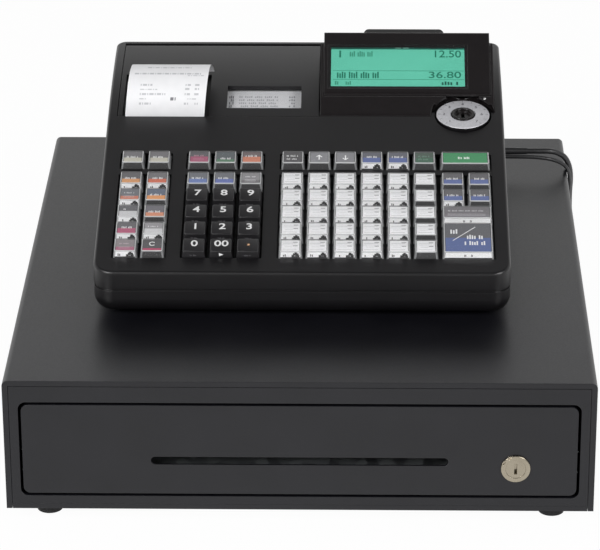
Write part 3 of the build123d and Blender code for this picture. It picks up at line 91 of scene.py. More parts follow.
# ---- small helpers
def linear(colour):
    """An sRGB hex colour as linear red, green, blue and alpha."""
    values = [int(colour[i : i + 2], 16) / 255 for i in (1, 3, 5)]
    return [v / 12.92 if v <= 0.04045 else ((v + 0.055) / 1.055) ** 2.4 for v in values] + [1.0]


def add_node(tree, kind, settings=None, inputs=None):
    """Adds a node, with its settings and with values or links on its inputs."""
    node = tree.nodes.new(kind)
    for name, value in (settings or {}).items():
        setattr(node, name, value)
    for name, value in (inputs or {}).items():
        if isinstance(value, bpy.types.NodeSocket):
            tree.links.new(value, node.inputs[name])
        else:
            node.inputs[name].default_value = value
    return node


def new_finish(name, colour, roughness, metallic=0.0, **sockets):
    """A material whose shader has its constants set, ready for a pattern."""
    material = bpy.data.materials.new(name)
    material.use_nodes = True
    tree = material.node_tree
    shader = tree.nodes["Principled BSDF"]
    shader.inputs["Base Color"].default_value = linear(colour)
    shader.inputs["Roughness"].default_value = roughness
    shader.inputs["Metallic"].default_value = metallic
    for socket, value in sockets.items():
        shader.inputs[socket.replace("_", " ").title().replace("Ior", "IOR")].default_value = value
    return material, tree, shader


FINE_SHARE = 0.6
CLOUD_SIZE = 35.0
NOISE_LOW, NOISE_HIGH = 0.3, 0.7
TONE_LOW, TONE_HIGH = 0.5, 1.1
BEVEL_SAMPLES = 4


def cloudy_tone(tree, shader, place, fine, colours):
    """Two tones, mixed by a fine noise over a slow one a few centimetres across."""
    cloud = add_node(
        tree,
        "ShaderNodeTexNoise",
        inputs={"Vector": place.outputs["Object"], "Scale": 1 / (CLOUD_SIZE * MM), "Detail": 2.0},
    )
    both = add_node(
        tree,
        "ShaderNodeMath",
        {"operation": "MULTIPLY_ADD"},
        {0: fine.outputs["Fac"], 1: FINE_SHARE, 2: cloud.outputs["Fac"]},
    )
    ramp = add_node(
        tree,
        "ShaderNodeMapRange",
        inputs={"Value": both.outputs["Value"], "From Min": TONE_LOW, "From Max": TONE_HIGH},
    )
    tone = add_node(
        tree,
        "ShaderNodeMix",
        {"data_type": "RGBA"},
        {"Factor": ramp.outputs["Result"], 6: linear(colours[0]), 7: linear(colours[1])},
    )
    tree.links.new(tone.outputs[2], shader.inputs["Base Color"])


def fine_relief(tree, shader, fine, relief, edge):
    """A small relief over softened edges."""
    soft = add_node(
        tree, "ShaderNodeBevel", {"samples": BEVEL_SAMPLES}, {"Radius": edge * MM}
    )
    bump = add_node(
        tree,
        "ShaderNodeBump",
        inputs={"Height": fine.outputs["Fac"], "Distance": relief * MM, "Strength": 1.0,
                "Normal": soft.outputs["Normal"]},
    )
    tree.links.new(bump.outputs["Normal"], shader.inputs["Normal"])


def grit(tree, shader, colours, grain, relief, stretch=(1, 1, 1), roughness=None, edge=0.4):
    """A fine surface of two tones, with a little relief and soft edges; sizes in millimetres."""
    place = add_node(tree, "ShaderNodeTexCoord")
    scaled = add_node(
        tree,
        "ShaderNodeMapping",
        inputs={"Vector": place.outputs["Object"], "Scale": [s / (grain * MM) for s in stretch]},
    )
    fine = add_node(
        tree,
        "ShaderNodeTexNoise",
        inputs={"Vector": scaled.outputs["Vector"], "Scale": 1.0, "Detail": 3.0, "Roughness": 0.6},
    )
    cloudy_tone(tree, shader, place, fine, colours)
    if roughness:
        rough = add_node(
            tree,
            "ShaderNodeMapRange",
            inputs={"Value": fine.outputs["Fac"], "From Min": NOISE_LOW, "From Max": NOISE_HIGH,
                    "To Min": roughness[0], "To Max": roughness[1]},
        )
        tree.links.new(rough.outputs["Result"], shader.inputs["Roughness"])
    fine_relief(tree, shader, fine, relief, edge)


def ripples(tree, shader, spacing, depth):
    """Slow waves in a clear moulded or cast face, by spacing and depth in millimetres."""
    place = add_node(tree, "ShaderNodeTexCoord")
    flow = add_node(
        tree,
        "ShaderNodeTexNoise",
        inputs={"Vector": place.outputs["Object"], "Scale": 1 / (spacing * MM)},
    )
    bump = add_node(
        tree, "ShaderNodeBump", inputs={"Height": flow.outputs["Fac"], "Distance": depth * MM}
    )
    tree.links.new(bump.outputs["Normal"], shader.inputs["Normal"])


def mottle(tree, shader, colour, spot, detail, dark, light):
    """One colour that is a little darker and lighter in spots of a size in millimetres."""
    place = add_node(tree, "ShaderNodeTexCoord")
    spots = add_node(
        tree,
        "ShaderNodeTexNoise",
        inputs={"Vector": place.outputs["Object"], "Scale": 1 / (spot * MM), "Detail": detail},
    )
    value = add_node(
        tree,
        "ShaderNodeMapRange",
        inputs={"Value": spots.outputs["Fac"], "From Min": NOISE_LOW, "From Max": NOISE_HIGH,
                "To Min": dark, "To Max": light},
    )
    shade = add_node(
        tree,
        "ShaderNodeHueSaturation",
        inputs={"Color": linear(colour), "Value": value.outputs["Result"]},
    )
    tree.links.new(shade.outputs["Color"], shader.inputs["Base Color"])


# ---- finishes
def powder_coat():
    """Black polyester powder coat on steel: a fine orange-peel grit and a satin sheen."""
    material, tree, shader = new_finish("powder_coat_black", "#0f0e13", 0.38, ior=1.48)
    grit(tree, shader, ("#0b0b10", "#121217"), 0.9, 0.04, roughness=(0.32, 0.44), edge=0.6)
    return material


def textured_abs():
    """Black ABS from a spark-eroded mould: matt, with a fine grain, drawn at 0.7 mm to show."""
    material, tree, shader = new_finish("abs_black_textured", "#0f0e10", 0.35, ior=1.53)
    grit(tree, shader, ("#0d0c0e", "#131214"), 0.7, 0.02, roughness=(0.31, 0.4), edge=0.5)
    return material


def gloss_abs():
    """Black ABS from a polished mould: a clear, slightly wavy reflection."""
    material, tree, shader = new_finish("abs_black_gloss", "#1a1718", 0.2, ior=1.53)
    grit(tree, shader, ("#181516", "#1c191a"), 6.0, 0.01, roughness=(0.17, 0.23), edge=1.4)
    return material


def soft_touch_abs():
    """Black ABS under soft-touch paint: deep, dull and a little dusty, with no clear shine."""
    material, tree, shader = new_finish("abs_black_soft_touch", "#0b0b0c", 0.72, ior=1.45)
    grit(tree, shader, ("#09090a", "#0e0e0f"), 0.9, 0.02, roughness=(0.66, 0.78), edge=0.8)
    return material


def nickel_plate():
    """Bright nickel plate on brass: warm grey metal with faint turning lines."""
    material, tree, shader = new_finish("nickel_plate", "#a69d8b", 0.24, 1.0)
    grit(tree, shader, ("#978e7d", "#b4ab9a"), 0.4, 0.004, (1, 0.1, 1), (0.18, 0.32), edge=0.25)
    return material


def zinc_plate():
    """Passivated zinc plate on pressed steel: cool grey with a soft, uneven lustre."""
    material, tree, shader = new_finish("zinc_plate", "#a9adb0", 0.38, 1.0)
    grit(tree, shader, ("#989ca0", "#b6babd"), 2.5, 0.006, roughness=(0.32, 0.46), edge=0.3)
    return material


def black_zinc_plate_and_gap_shade():
    """Black-passivated zinc plate: dark and dull, as behind a keyboard, with a cloudy lustre; its
    darkness also paints the shade in the gaps between the keys.
    """
    material, tree, shader = new_finish("zinc_plate_black_and_gap_shade", "#1b1b1c", 0.45, 0.3)
    grit(tree, shader, ("#161617", "#202022"), 3.0, 0.004, roughness=(0.4, 0.52), edge=0.3)
    return material


ZINC_CRYSTAL = 7.0


def galvanised_steel():
    """Hot-dip galvanised sheet: zinc crystals some millimetres across, each of its own grey."""
    material, tree, shader = new_finish("galvanised_steel", "#9a9ea1", 0.42, 1.0)
    place = add_node(tree, "ShaderNodeTexCoord")
    crystals = add_node(
        tree,
        "ShaderNodeTexVoronoi",
        inputs={"Vector": place.outputs["Object"], "Scale": 1 / (ZINC_CRYSTAL * MM)},
    )
    tone = add_node(
        tree,
        "ShaderNodeMix",
        {"data_type": "RGBA"},
        {"Factor": crystals.outputs["Color"], 6: linear("#8b8f93"), 7: linear("#a9adaf")},
    )
    tree.links.new(tone.outputs[2], shader.inputs["Base Color"])
    rough = add_node(
        tree,
        "ShaderNodeMapRange",
        inputs={"Value": crystals.outputs["Color"], "To Min": 0.34, "To Max": 0.52},
    )
    tree.links.new(rough.outputs["Result"], shader.inputs["Roughness"])
    soft = add_node(tree, "ShaderNodeBevel", {"samples": BEVEL_SAMPLES}, {"Radius": 0.4 * MM})
    tree.links.new(soft.outputs["Normal"], shader.inputs["Normal"])
    return material


def silver_paint():
    """Satin silver paint on a moulded ring: sparkling metal flake, drawn at 1.1 mm to show."""
    material, tree, shader = new_finish("satin_silver_paint", "#c8c8cc", 0.42, 0.35)
    grit(tree, shader, ("#a4a4a9", "#ececf0"), 1.1, 0.03, roughness=(0.34, 0.52), edge=0.4)
    return material


def nitrile_rubber():
    """Moulded nitrile rubber: matt black, greyer where it is rubbed."""
    material, tree, shader = new_finish("nitrile_rubber", "#262627", 0.8, ior=1.52)
    grit(tree, shader, ("#202021", "#303031"), 1.2, 0.05, roughness=(0.72, 0.88), edge=0.6)
    return material


def cable_pvc():
    """Extruded PVC cord sheath: even charcoal with a soft shine and a faint waviness along it."""
    material, tree, shader = new_finish("pvc_sheath", "#262628", 0.42, ior=1.53)
    grit(tree, shader, ("#222224", "#2c2c2e"), 4.0, 0.02, roughness=(0.36, 0.5), edge=0.5)
    return material


def till_polypropylene():
    """Moulded polypropylene tray: waxy dark grey with a fine matt grain."""
    material, tree, shader = new_finish("polypropylene_grey", "#3a3b3d", 0.5, ior=1.49)
    grit(tree, shader, ("#35363a", "#424345"), 1.0, 0.03, roughness=(0.45, 0.6), edge=0.6)
    return material


def roller_nylon():
    """Turned nylon: cream-white, slightly greasy shine."""
    material, tree, shader = new_finish("nylon_natural", "#ded9cc", 0.4, ior=1.53)
    grit(tree, shader, ("#d6d0c2", "#e4e0d4"), 1.5, 0.01, roughness=(0.34, 0.46), edge=0.3)
    return material


TRACK_SPACING = 6.0


def board_laminate():
    """Glass-epoxy board under green solder mask: darker tracks run in straight lines below it."""
    material, tree, shader = new_finish("board_laminate", "#1f5a3c", 0.35, ior=1.5)
    place = add_node(tree, "ShaderNodeTexCoord")
    tracks = add_node(
        tree,
        "ShaderNodeTexBrick",
        inputs={"Vector": place.outputs["Object"], "Scale": 1 / (TRACK_SPACING * MM),
                "Color1": linear("#1f5f3f"), "Color2": linear("#256a47"),
                "Mortar": linear("#174a31"), "Mortar Size": 0.06},
    )
    tree.links.new(tracks.outputs["Color"], shader.inputs["Base Color"])
    return material


def key_abs():
    """Two-shot moulded ABS key: deep black with a satin top."""
    material, tree, shader = new_finish("abs_key_black", "#1d1c1e", 0.36, ior=1.53)
    grit(tree, shader, ("#1a191b", "#222123"), 0.8, 0.015, roughness=(0.3, 0.42), edge=0.2)
    return material


def numeral_abs():
    """The white second shot of a key, flush with its top: off-white and satin."""
    material, tree, shader = new_finish("abs_numeral_white", "#dedede", 0.4, ior=1.53)
    grit(tree, shader, ("#d4d4d4", "#e6e6e6"), 1.0, 0.0, edge=0.05)
    return material


def clear_styrene(name, colour, alpha, roughness):
    """Clear moulded polystyrene: thin faces show the card below; made lighter and less clear, it
    paints the highlight that thick sides and edges catch.
    """
    material, tree, shader = new_finish(name, colour, roughness, ior=1.59, alpha=alpha)
    ripples(tree, shader, 5, 0.05)
    return material


def window_acrylic():
    """Cast acrylic: clear and polished, so that little but its reflection shows."""
    material, tree, shader = new_finish("acrylic_clear", "#4e5455", 0.03, ior=1.49, alpha=0.06)
    ripples(tree, shader, 20, 0.03)
    return material


def printed_card(name, colour):
    """Offset-printed card: flat ink with the faint fibre of the card in it."""
    material, tree, shader = new_finish(name, colour, 0.45, ior=1.5)
    mottle(tree, shader, colour, 1.2, 3.0, 0.94, 1.05)
    return material


def thermal_paper(name, colour):
    """Thermal paper: smooth, slightly glossy and faintly cloudy."""
    material, tree, shader = new_finish(name, colour, 0.5, ior=1.45)
    mottle(tree, shader, colour, 9, 2.0, 0.97, 1.02)
    return material


powder = powder_coat()
case_abs = textured_abs()
polished_abs = gloss_abs()
dull_abs = soft_touch_abs()
nickel = nickel_plate()
zinc = zinc_plate()
black_zinc_and_gap_shade = black_zinc_plate_and_gap_shade()
galvanised = galvanised_steel()
silver = silver_paint()
rubber = nitrile_rubber()
sheath = cable_pvc()
polypropylene = till_polypropylene()
nylon = roller_nylon()
laminate = board_laminate()
black_key = key_abs()
white_shot = numeral_abs()
cap_face = clear_styrene("styrene_clear_face", "#f2f3f4", 0.06, 0.08)
# The lighter, less clear side and edge finishes are painted highlight for the light that thick
# clear plastic catches.
cap_side_painted_light = clear_styrene("styrene_clear_side_painted_light", "#b9babc", 0.5, 0.18)
cap_edge_painted_highlight = clear_styrene("styrene_clear_edge_painted_highlight", "#d8d9da", 0.7, 0.2)
acrylic = window_acrylic()

NODE_FINISHES = {
    "drawer_casing": powder, "casing_base": powder, "casing_bezel": powder,
    "drawer_front": powder, "drawer_box": galvanised, "drawer_runners": galvanised,
    "printer_frame": galvanised, "rubber_feet": rubber, "receipt_platen": rubber,
    "journal_platen": rubber, "fixing_screws": zinc, "solenoid": zinc, "eject_spring": zinc,
    "latch_lever": zinc, "clip_shaft": zinc, "lock_barrel": nickel, "lock_plug": nickel,
    "till_insert": polypropylene, "note_clips": polypropylene, "front_rollers": nylon,
    "rear_rollers": nylon, "lower_case": case_abs, "upper_case": case_abs,
    "printer_cover": case_abs, "display_base": polished_abs, "display_head": polished_abs,
    "lcd_panel": polished_abs, "mode_rotor": polished_abs, "customer_display": dull_abs,
    # The key guide plate's black is partly painted shade for the gaps between the keys.
    "key_guide_plate": black_zinc_and_gap_shade, "main_board": laminate, "cord_gland": sheath,
    "power_plug": sheath, "display_window": acrylic, "journal_window": acrylic,
}


def give_finish(node, material):
    """Puts one finish on all of a CAD node."""
    for slot in bpy.data.objects[node].material_slots:
        slot.material = material


# ---- modelling helpers
SHARP_ANGLE = 35
BEVEL_STEPS = 3
CAPITAL_SHARE = 0.7
FIGURE_DEPTH = 0.03
FIGURE_WEIGHT = 0.25
THIN_WEIGHT = 0.1


def finished(name, bm, place, materials, body, smooth=True):
    """Turns a shape in millimetres into a piece in the frame and lets it ride on its body."""
    bmesh.ops.transform(bm, matrix=place, verts=bm.verts)
    mesh = bpy.data.meshes.new(name)
    bm.to_mesh(mesh)
    bm.free()
    for material in materials:
        mesh.materials.append(material)
    if smooth:
        mesh.shade_smooth()
        mesh.set_sharp_from_angle(angle=math.radians(SHARP_ANGLE))
    piece = bpy.data.objects.new(name, mesh)
    bpy.context.collection.objects.link(piece)
    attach(piece, body)
    return piece


def slab(bm, place, left, right, low, high, bottom, top, slot):
    """A thin printed patch or bar, counted from the middle of the face that carries it."""
    middle = ((left + right) / 2, (low + high) / 2, (bottom + top) / 2)
    size = Matrix.Diagonal((right - left, high - low, top - bottom, 1))
    made = bmesh.ops.create_cube(bm, size=1, matrix=place @ Matrix.Translation(middle) @ size)
    for face in {face for vert in made["verts"] for face in vert.link_faces}:
        face.material_index = slot


def tapered_block(base, top, shift, low, high, corner, edge):
    """A key's body round its own middle: tapered, with rounded corners and a rounded top edge."""
    bm = bmesh.new()
    bmesh.ops.create_cube(bm, size=1)
    for vert in bm.verts:
        size = top if vert.co.z > 0 else base
        across = math.copysign(size[0] / 2, vert.co.x)
        along = math.copysign(size[1] / 2, vert.co.y) - (shift if vert.co.z > 0 else 0)
        vert.co = (across, along, high if vert.co.z > 0 else low)
    uprights = [e for e in bm.edges if abs(e.verts[0].co.z - e.verts[1].co.z) > (high - low) / 2]
    bmesh.ops.bevel(
        bm, geom=uprights, offset=corner, affect="EDGES", segments=BEVEL_STEPS, profile=0.5,
        material=-1,
    )
    rim = [e for e in bm.edges if min(v.co.z for v in e.verts) > high - 0.01]
    bmesh.ops.bevel(
        bm, geom=rim, offset=edge, affect="EDGES", segments=BEVEL_STEPS, profile=0.5,
        material=-1,
    )
    return bm


def add_shape(bm, shape, place):
    """Adds a copy of a finished shape to a larger mesh."""
    mesh = bpy.data.meshes.new("copy")
    shape.to_mesh(mesh)
    mesh.transform(place)
    bm.from_mesh(mesh)
    bpy.data.meshes.remove(mesh)


def add_figures(bm, text, height, place, slot, weight=FIGURE_WEIGHT):
    """Adds raised figures, from the plain built-in letter shapes."""
    curve = bpy.data.curves.new("figures", "FONT")
    curve.body = text
    curve.align_x = "CENTER"
    curve.align_y = "CENTER"
    curve.size = height / CAPITAL_SHARE
    curve.extrude = FIGURE_DEPTH
    curve.offset = weight * height / 10
    curve.resolution_u = 4
    shape = bpy.data.objects.new("figures", curve)
    mesh = bpy.data.meshes.new_from_object(shape)
    bpy.data.objects.remove(shape)
    bpy.data.curves.remove(curve)
    mesh.transform(place)
    for polygon in mesh.polygons:
        polygon.material_index = slot
    bm.from_mesh(mesh)
    bpy.data.meshes.remove(mesh)


# ---- camera
CAMERA_PLACE = (39.684, -2274.415, 1117.834)
CAMERA_YAW = -0.01898
CAMERA_PITCH = 0.42426
CAMERA_ROLL = -0.00339
IMAGE_WIDTH = 600
FOCAL_PIXELS = 3324.467
SENSOR = 36.0


def add_camera():
    """The camera in front of the object, from its place, yaw, pitch and roll."""
    data = bpy.data.cameras.new("camera")
    data.sensor_width = SENSOR
    data.lens = SENSOR * FOCAL_PIXELS / IMAGE_WIDTH
    data.clip_start = 0.1
    data.clip_end = 30.0
    forward = Vector((
        math.sin(CAMERA_YAW) * math.cos(CAMERA_PITCH),
        math.cos(CAMERA_YAW) * math.cos(CAMERA_PITCH),
        -math.sin(CAMERA_PITCH),
    ))
    level = Vector((math.cos(CAMERA_YAW), -math.sin(CAMERA_YAW), 0))
    above = level.cross(forward)
    across = math.cos(CAMERA_ROLL) * level + math.sin(CAMERA_ROLL) * above
    upward = math.cos(CAMERA_ROLL) * above - math.sin(CAMERA_ROLL) * level
    camera = bpy.data.objects.new("camera", data)
    turn = Matrix((across, upward, -forward)).transposed().to_4x4()
    camera.matrix_world = Matrix.Translation(Vector(CAMERA_PLACE) * MM) @ turn
    bpy.context.collection.objects.link(camera)
    bpy.context.scene.camera = camera


# ---- cords
CORD_DIAMETER = 4.4
LEAD_DIAMETER = 3.0
COIL_MIDDLE = (150.0, 287.2)
COIL_RADIUS = 26.4
COIL_POINTS = 20
COIL_TURNS = 8
COIL_LIFT = 0.1
# Each step of the winding: the turn at which it ends, how much of a turn it takes, and the
# column (0 inside, 1 outside) and layer that the cord reaches with it.
COIL_STEPS = [
    (1.0, 0.2, 0, 0), (1.8, 0.16, 0, 1), (2.64, 0.2, 1, 1), (3.44, 0.16, 1, 2), (4.28, 0.2, 0, 2),
    (5.08, 0.16, 0, 3), (5.92, 0.2, 1, 3), (6.72, 0.16, 1, 4), (7.56, 0.16, 1, 5),
]
CORD_START = [
    (172.5, 153.5, 129.0), (183.0, 153.6, 129.0), (194.0, 155.2, 128.4), (204.2, 159.8, 121.4),
    (208.9, 167.8, 104.6), (208.5, 179.0, 80.0), (210.6, 193.0, 52.0), (212.0, 211.0, 25.0),
    (210.5, 233.0, 8.8), (200.5, 251.3, 2.3), (179.0, 258.5, 2.3), (160.0, 258.6, 2.3),
]
CORD_TAIL = [
    (136.0, 258.4, 23.6), (120.0, 257.5, 18.0), (105.0, 254.5, 10.0), (84.0, 251.5, 3.6),
    (64.0, 249.5, 9.0), (47.0, 247.0, 9.0),
]
LEAD_ROUTE = [
    (152.5, 147.4, 126.6), (167.5, 147.4, 126.6), (183.0, 148.2, 125.8), (196.0, 150.4, 122.4),
    (205.6, 154.6, 114.8), (208.0, 161.0, 99.0), (206.7, 169.0, 77.0), (206.7, 181.0, 58.0),
    (206.7, 197.0, 46.0), (207.5, 218.5, 38.5), (207.0, 237.5, 34.5), (197.0, 251.0, 33.0),
    (179.5, 252.5, 34.0), (168.0, 240.5, 37.0), (167.5, 222.5, 37.0),
]


def coil_points():
    """The put-away length, wound clockwise in two columns and from layer to layer."""
    points = []
    for count in range(COIL_TURNS * COIL_POINTS + 1):
        turn = count / COIL_POINTS
        column, layer = 1.0, 0.0
        for end, share, next_column, next_layer in COIL_STEPS:
            done = min(max((turn - end + share) / share, 0.0), 1.0)
            eased = (1 - math.cos(math.pi * done)) / 2
            column += (next_column - column) * eased
            layer += (next_layer - layer) * eased
        radius = COIL_RADIUS + (column - 0.5) * CORD_DIAMETER
        radius /= math.cos(math.pi / COIL_POINTS)
        angle = -math.pi / 2 - 2 * math.pi * turn
        points.append((
            COIL_MIDDLE[0] + radius * math.cos(angle),
            COIL_MIDDLE[1] + radius * math.sin(angle),
            (layer + 0.5) * CORD_DIAMETER + COIL_LIFT,
        ))
    return points


def spline_cord(name, points, diameter, body):
    """A round cord along a smooth spline through its route."""
    curve = bpy.data.curves.new(name, "CURVE")
    curve.dimensions = "3D"
    curve.bevel_depth = diameter / 2 * MM
    curve.bevel_resolution = 4
    curve.resolution_u = 6
    curve.use_fill_caps = True
    spline = curve.splines.new("NURBS")
    spline.points.add(len(points) - 1)
    for point, place in zip(spline.points, points):
        point.co = [c * MM for c in place] + [1.0]
    spline.order_u = 3
    spline.use_endpoint_u = True
    curve.materials.append(sheath)
    piece = bpy.data.objects.new(name, curve)
    bpy.context.collection.objects.link(piece)
    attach(piece, body)
    return piece


def add_cords():
    route = CORD_START + coil_points() + CORD_TAIL
    mains = spline_cord("mains_cord", route, CORD_DIAMETER, "casing")
    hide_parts("power_cord", "cord_coil")
    lead = spline_cord("drawer_lead_cord", LEAD_ROUTE, LEAD_DIAMETER, "casing")
    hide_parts("drawer_lead")


# ---- keys
PAPER_WHITE = "#f3f3f4"
INK_BLACK = "#161517"
INK_GREY = "#3a393c"
INK_PALE = "#bdbdbf"
RULE_GREY = "#bcbcbe"
RULE_DARK = "#98989b"
RULE_PALE = "#c6c6c8"
ARROW_WHITE = "#f0f0f0"
RING_WHITE = "#e6e6e6"
TENDER_WHITE = "#e2e2e4"

# Height of a printed patch and of the ink on it over the face, and how deep each goes.
PATCH_LIFT = 0.06
INK_LIFT = 0.12
PATCH_DEPTH = 0.06

# Unreadable lettering: the spacing of its strokes, each stroke's share of it, and how much
# shorter some strokes are.
WORD_STEP = 0.95
STROKE_SHARE = 0.62
STROKE_FALL = 0.12
RULE_THICKNESS = 0.35

card_finishes = {}


def card(colour):
    """The printed card of one ink colour, made once."""
    if colour not in card_finishes:
        card_finishes[colour] = printed_card("printed_card_" + colour[1:], colour)
    return card_finishes[colour]


class LabelSheet:
    """A carrier of one finish and the printed patches on it, in one mesh."""

    def __init__(self, carrier):
        self.bm = bmesh.new()
        self.finishes = [carrier]

    def slot(self, colour):
        finish = card(colour)
        if finish not in self.finishes:
            self.finishes.append(finish)
        return self.finishes.index(finish)

    def patch(self, place, left, right, low, high, lift, colour):
        slab(self.bm, place, left, right, low, high, lift - PATCH_DEPTH, lift, self.slot(colour))


def cap_shape(extra_x=0.0, extra_u=0.0, wall=0.0):
    """A cap, or its core inside the given wall."""
    base = (CAP_SIZE + extra_x - 2 * wall, CAP_SIZE + extra_u - 2 * wall)
    top = (CAP_TOP_X + extra_x - 2 * wall, CAP_TOP_U + extra_u - 2 * wall)
    high = CAP_HEIGHT - wall
    return tapered_block(base, top, CAP_SHIFT, -CAP_SKIRT, high, CAP_CORNER, CAP_EDGE)


def top_place(x, u):
    """The middle of a core's top."""
    return Matrix.Translation((x, u - CAP_SHIFT, CAP_HEIGHT - CAP_WALL))


def front_place(x, u, extra_u=0.0):
    """The middle of a core's front, with its second axis up the front and its third outwards."""
    run = (CAP_SIZE - CAP_TOP_U) / 2 - CAP_SHIFT
    lean = math.atan2(run, CAP_HEIGHT)
    middle = u - (CAP_SIZE + extra_u) / 2 - run / 2 + run + CAP_WALL
    turn = Matrix.Rotation(math.pi / 2 - lean, 4, "X")
    return Matrix.Translation((x, middle, (CAP_HEIGHT - CAP_WALL) / 2)) @ turn


def word_marks(sheet, place, left, right, low, high, colour, seed, step=WORD_STEP):
    """Short upright strokes in a row, as small lettering looks when it can't be read."""
    for number in range(int((right - left) / step)):
        if (number * 7 + seed * 3) % 5 == 4:
            continue
        start = left + number * step
        tall = high - STROKE_FALL * (high - low) * ((number + seed) % 3)
        sheet.patch(place, start, start + STROKE_SHARE * step, low, tall, INK_LIFT, colour)


def line_marks(sheet, place, left, right, heights, colour, thickness=RULE_THICKNESS):
    for height in heights:
        sheet.patch(place, left, right, height, height + thickness, INK_LIFT, colour)


def slanted(place, x, u, angle):
    """A place turned about a point on a face."""
    return place @ Matrix.Translation((x, u, 0)) @ Matrix.Rotation(math.radians(angle), 4, "Z")


def arrow_marks(sheet, place, upward, colour):
    """An arrow made of a shaft and two barbs, which lie just over the shaft."""
    sign = 1 if upward else -1
    sheet.patch(place, -0.45, 0.45, -2.6, 2.6, INK_LIFT, colour)
    for side in (-1, 1):
        barb = slanted(place, side * 0.9, sign * 1.75, -side * sign * 45)
        sheet.patch(barb, -1.5, 1.5, -0.4, 0.4, INK_LIFT + 0.01, colour)


def open_ring_marks(sheet, place, colour, radius=1.9, rise=1.6, strokes=7):
    """A ring of straight strokes that is open on its right."""
    for step in range(strokes):
        angle = 60 + 40 * step
        turn = math.radians(angle)
        x, u = radius * math.cos(turn), rise + radius * math.sin(turn)
        sheet.patch(slanted(place, x, u, angle + 90), -0.8, 0.8, -0.35, 0.35, INK_LIFT, colour)


def tender_marks(sheet, place, colour):
    """Two groups of tall strokes on either side of a slanting rule, and a row below."""
    word_marks(sheet, place, -12.6, -3.4, 4.6, 9.8, colour, 1, 1.9)
    sheet.patch(slanted(place, -2.8, 4.6, 43.5), -11.2, 11.2, -0.3, 0.3, INK_LIFT, colour)
    word_marks(sheet, place, -0.8, 12.6, -1.4, 3.4, colour, 2, 1.7)
    word_marks(sheet, place, -2.6, 12.8, -8.2, -3.8, colour, 4, 1.7)


def price_marks(sheet, place, half_x):
    """The rules and the two small boxes of a price card."""
    line_marks(sheet, place, 1.2 - half_x, half_x - 2.2, (2.6, -4.2), RULE_GREY, 0.4)
    line_marks(sheet, place, half_x - 4.6, half_x - 1.4, (3.5, -0.6), RULE_DARK, 0.9)
    line_marks(sheet, place, 2.4 - half_x, half_x - 5.0, (-1.4,), RULE_PALE, 0.4)


def top_marks(sheet, place, marks, colour, seed, half_x, split):
    """The print on the card under a key's top, in millimetres from the card's middle.

    The split is where the card's upper colour meets the band below it.
    """
    margin = 2 - half_x
    if marks == "word":
        word_marks(sheet, place, margin, -margin, split - 0.3, split + 1.9, colour, seed)
    elif marks == "short":
        word_marks(sheet, place, -5.4, 5.4, -1.3, 1.4, colour, seed, 1.1)
    elif marks == "lines":
        for row, low in enumerate((0.9, -2.8)):
            word_marks(sheet, place, margin, -margin, low, low + 1.7, colour, seed + row)
    elif marks == "small":
        word_marks(sheet, place, 2.5 - half_x, half_x - 2.5, 1.0, 2.4, colour, seed)
        line_marks(sheet, place, margin, half_x - 3, (-2.2, -3.6), colour, 0.3)
    elif marks == "price":
        price_marks(sheet, place, half_x)
    elif marks == "spot":
        word_marks(sheet, place, -3.4, -1.0, split + 1.2, split + 2.8, colour, seed)
    elif marks in ("up", "down"):
        arrow_marks(sheet, place, marks == "up", ARROW_WHITE)
    elif marks == "ring":
        open_ring_marks(sheet, place, RING_WHITE)
    elif marks == "tender":
        tender_marks(sheet, place, TENDER_WHITE)


def white_front(sheet, front, half_f, tall, seed):
    """A white front card with a stepped black corner and a small word beside it."""
    sheet.patch(front, -half_f, half_f, -tall, tall, PATCH_LIFT, PAPER_WHITE)
    corner = half_f - 1.0
    shoulder = 0.4 * (seed % 3)
    for left, right, low, high in (
        (corner - 5.6, corner, -tall, -0.4),
        (corner - 4.6 + shoulder, corner - 0.5, -0.4, 0.9),
        (corner - 3.4, corner - 1.6, 0.9, 1.7),
    ):
        sheet.patch(front, left, right, low, high, INK_LIFT, INK_BLACK)
    word_marks(sheet, front, corner - 3.6, corner - 1.4, -tall + 0.6, -0.7, INK_PALE, seed)
    left = 2.4 - half_f
    word_marks(sheet, front, left, left + 3.4, -tall + 0.5, 0.2, INK_GREY, seed + 2, 1.15)


def plain_front(sheet, front, half_f, tall, seed):
    """A white front card with two small marks."""
    sheet.patch(front, -half_f, half_f, -tall, tall, PATCH_LIFT, PAPER_WHITE)
    for share in (-0.12, 0.16):
        middle = share * half_f
        word_marks(sheet, front, middle - 0.9, middle + 0.9, -1.3, 0.5, INK_GREY, seed, 0.8)


CARD_MARGIN = 0.35


def clear_key(sheet, x, u, style, extra_x=0.0, extra_u=0.0, seed=0):
    """One key with a printed card under a clear cap."""
    top_colour, band_colour, band_share, front_colour, marks, mark_colour = style
    add_shape(sheet.bm, cap_shape(extra_x, extra_u, CAP_WALL), Matrix.Translation((x, u, 0)))
    place = top_place(x, u)
    half_x = (CAP_TOP_X + extra_x) / 2 - CAP_WALL - CARD_MARGIN
    half_u = (CAP_TOP_U + extra_u) / 2 - CAP_WALL - CARD_MARGIN
    low, high = -half_u, half_u
    split = low + band_share * (high - low)
    sheet.patch(place, -half_x, half_x, low, split, PATCH_LIFT, band_colour)
    sheet.patch(place, -half_x, half_x, split, high, PATCH_LIFT, top_colour)
    top_marks(sheet, place, marks, mark_colour, seed, half_x, split)
    front = front_place(x, u, extra_u)
    half_f = (CAP_SIZE + extra_x) / 2 - CAP_WALL - 2 * CARD_MARGIN
    tall = (CAP_HEIGHT - CAP_WALL) / 2 - 0.1
    if front_colour == "white":
        white_front(sheet, front, half_f, tall, seed)
    elif front_colour == "plain":
        plain_front(sheet, front, half_f, tall, seed)


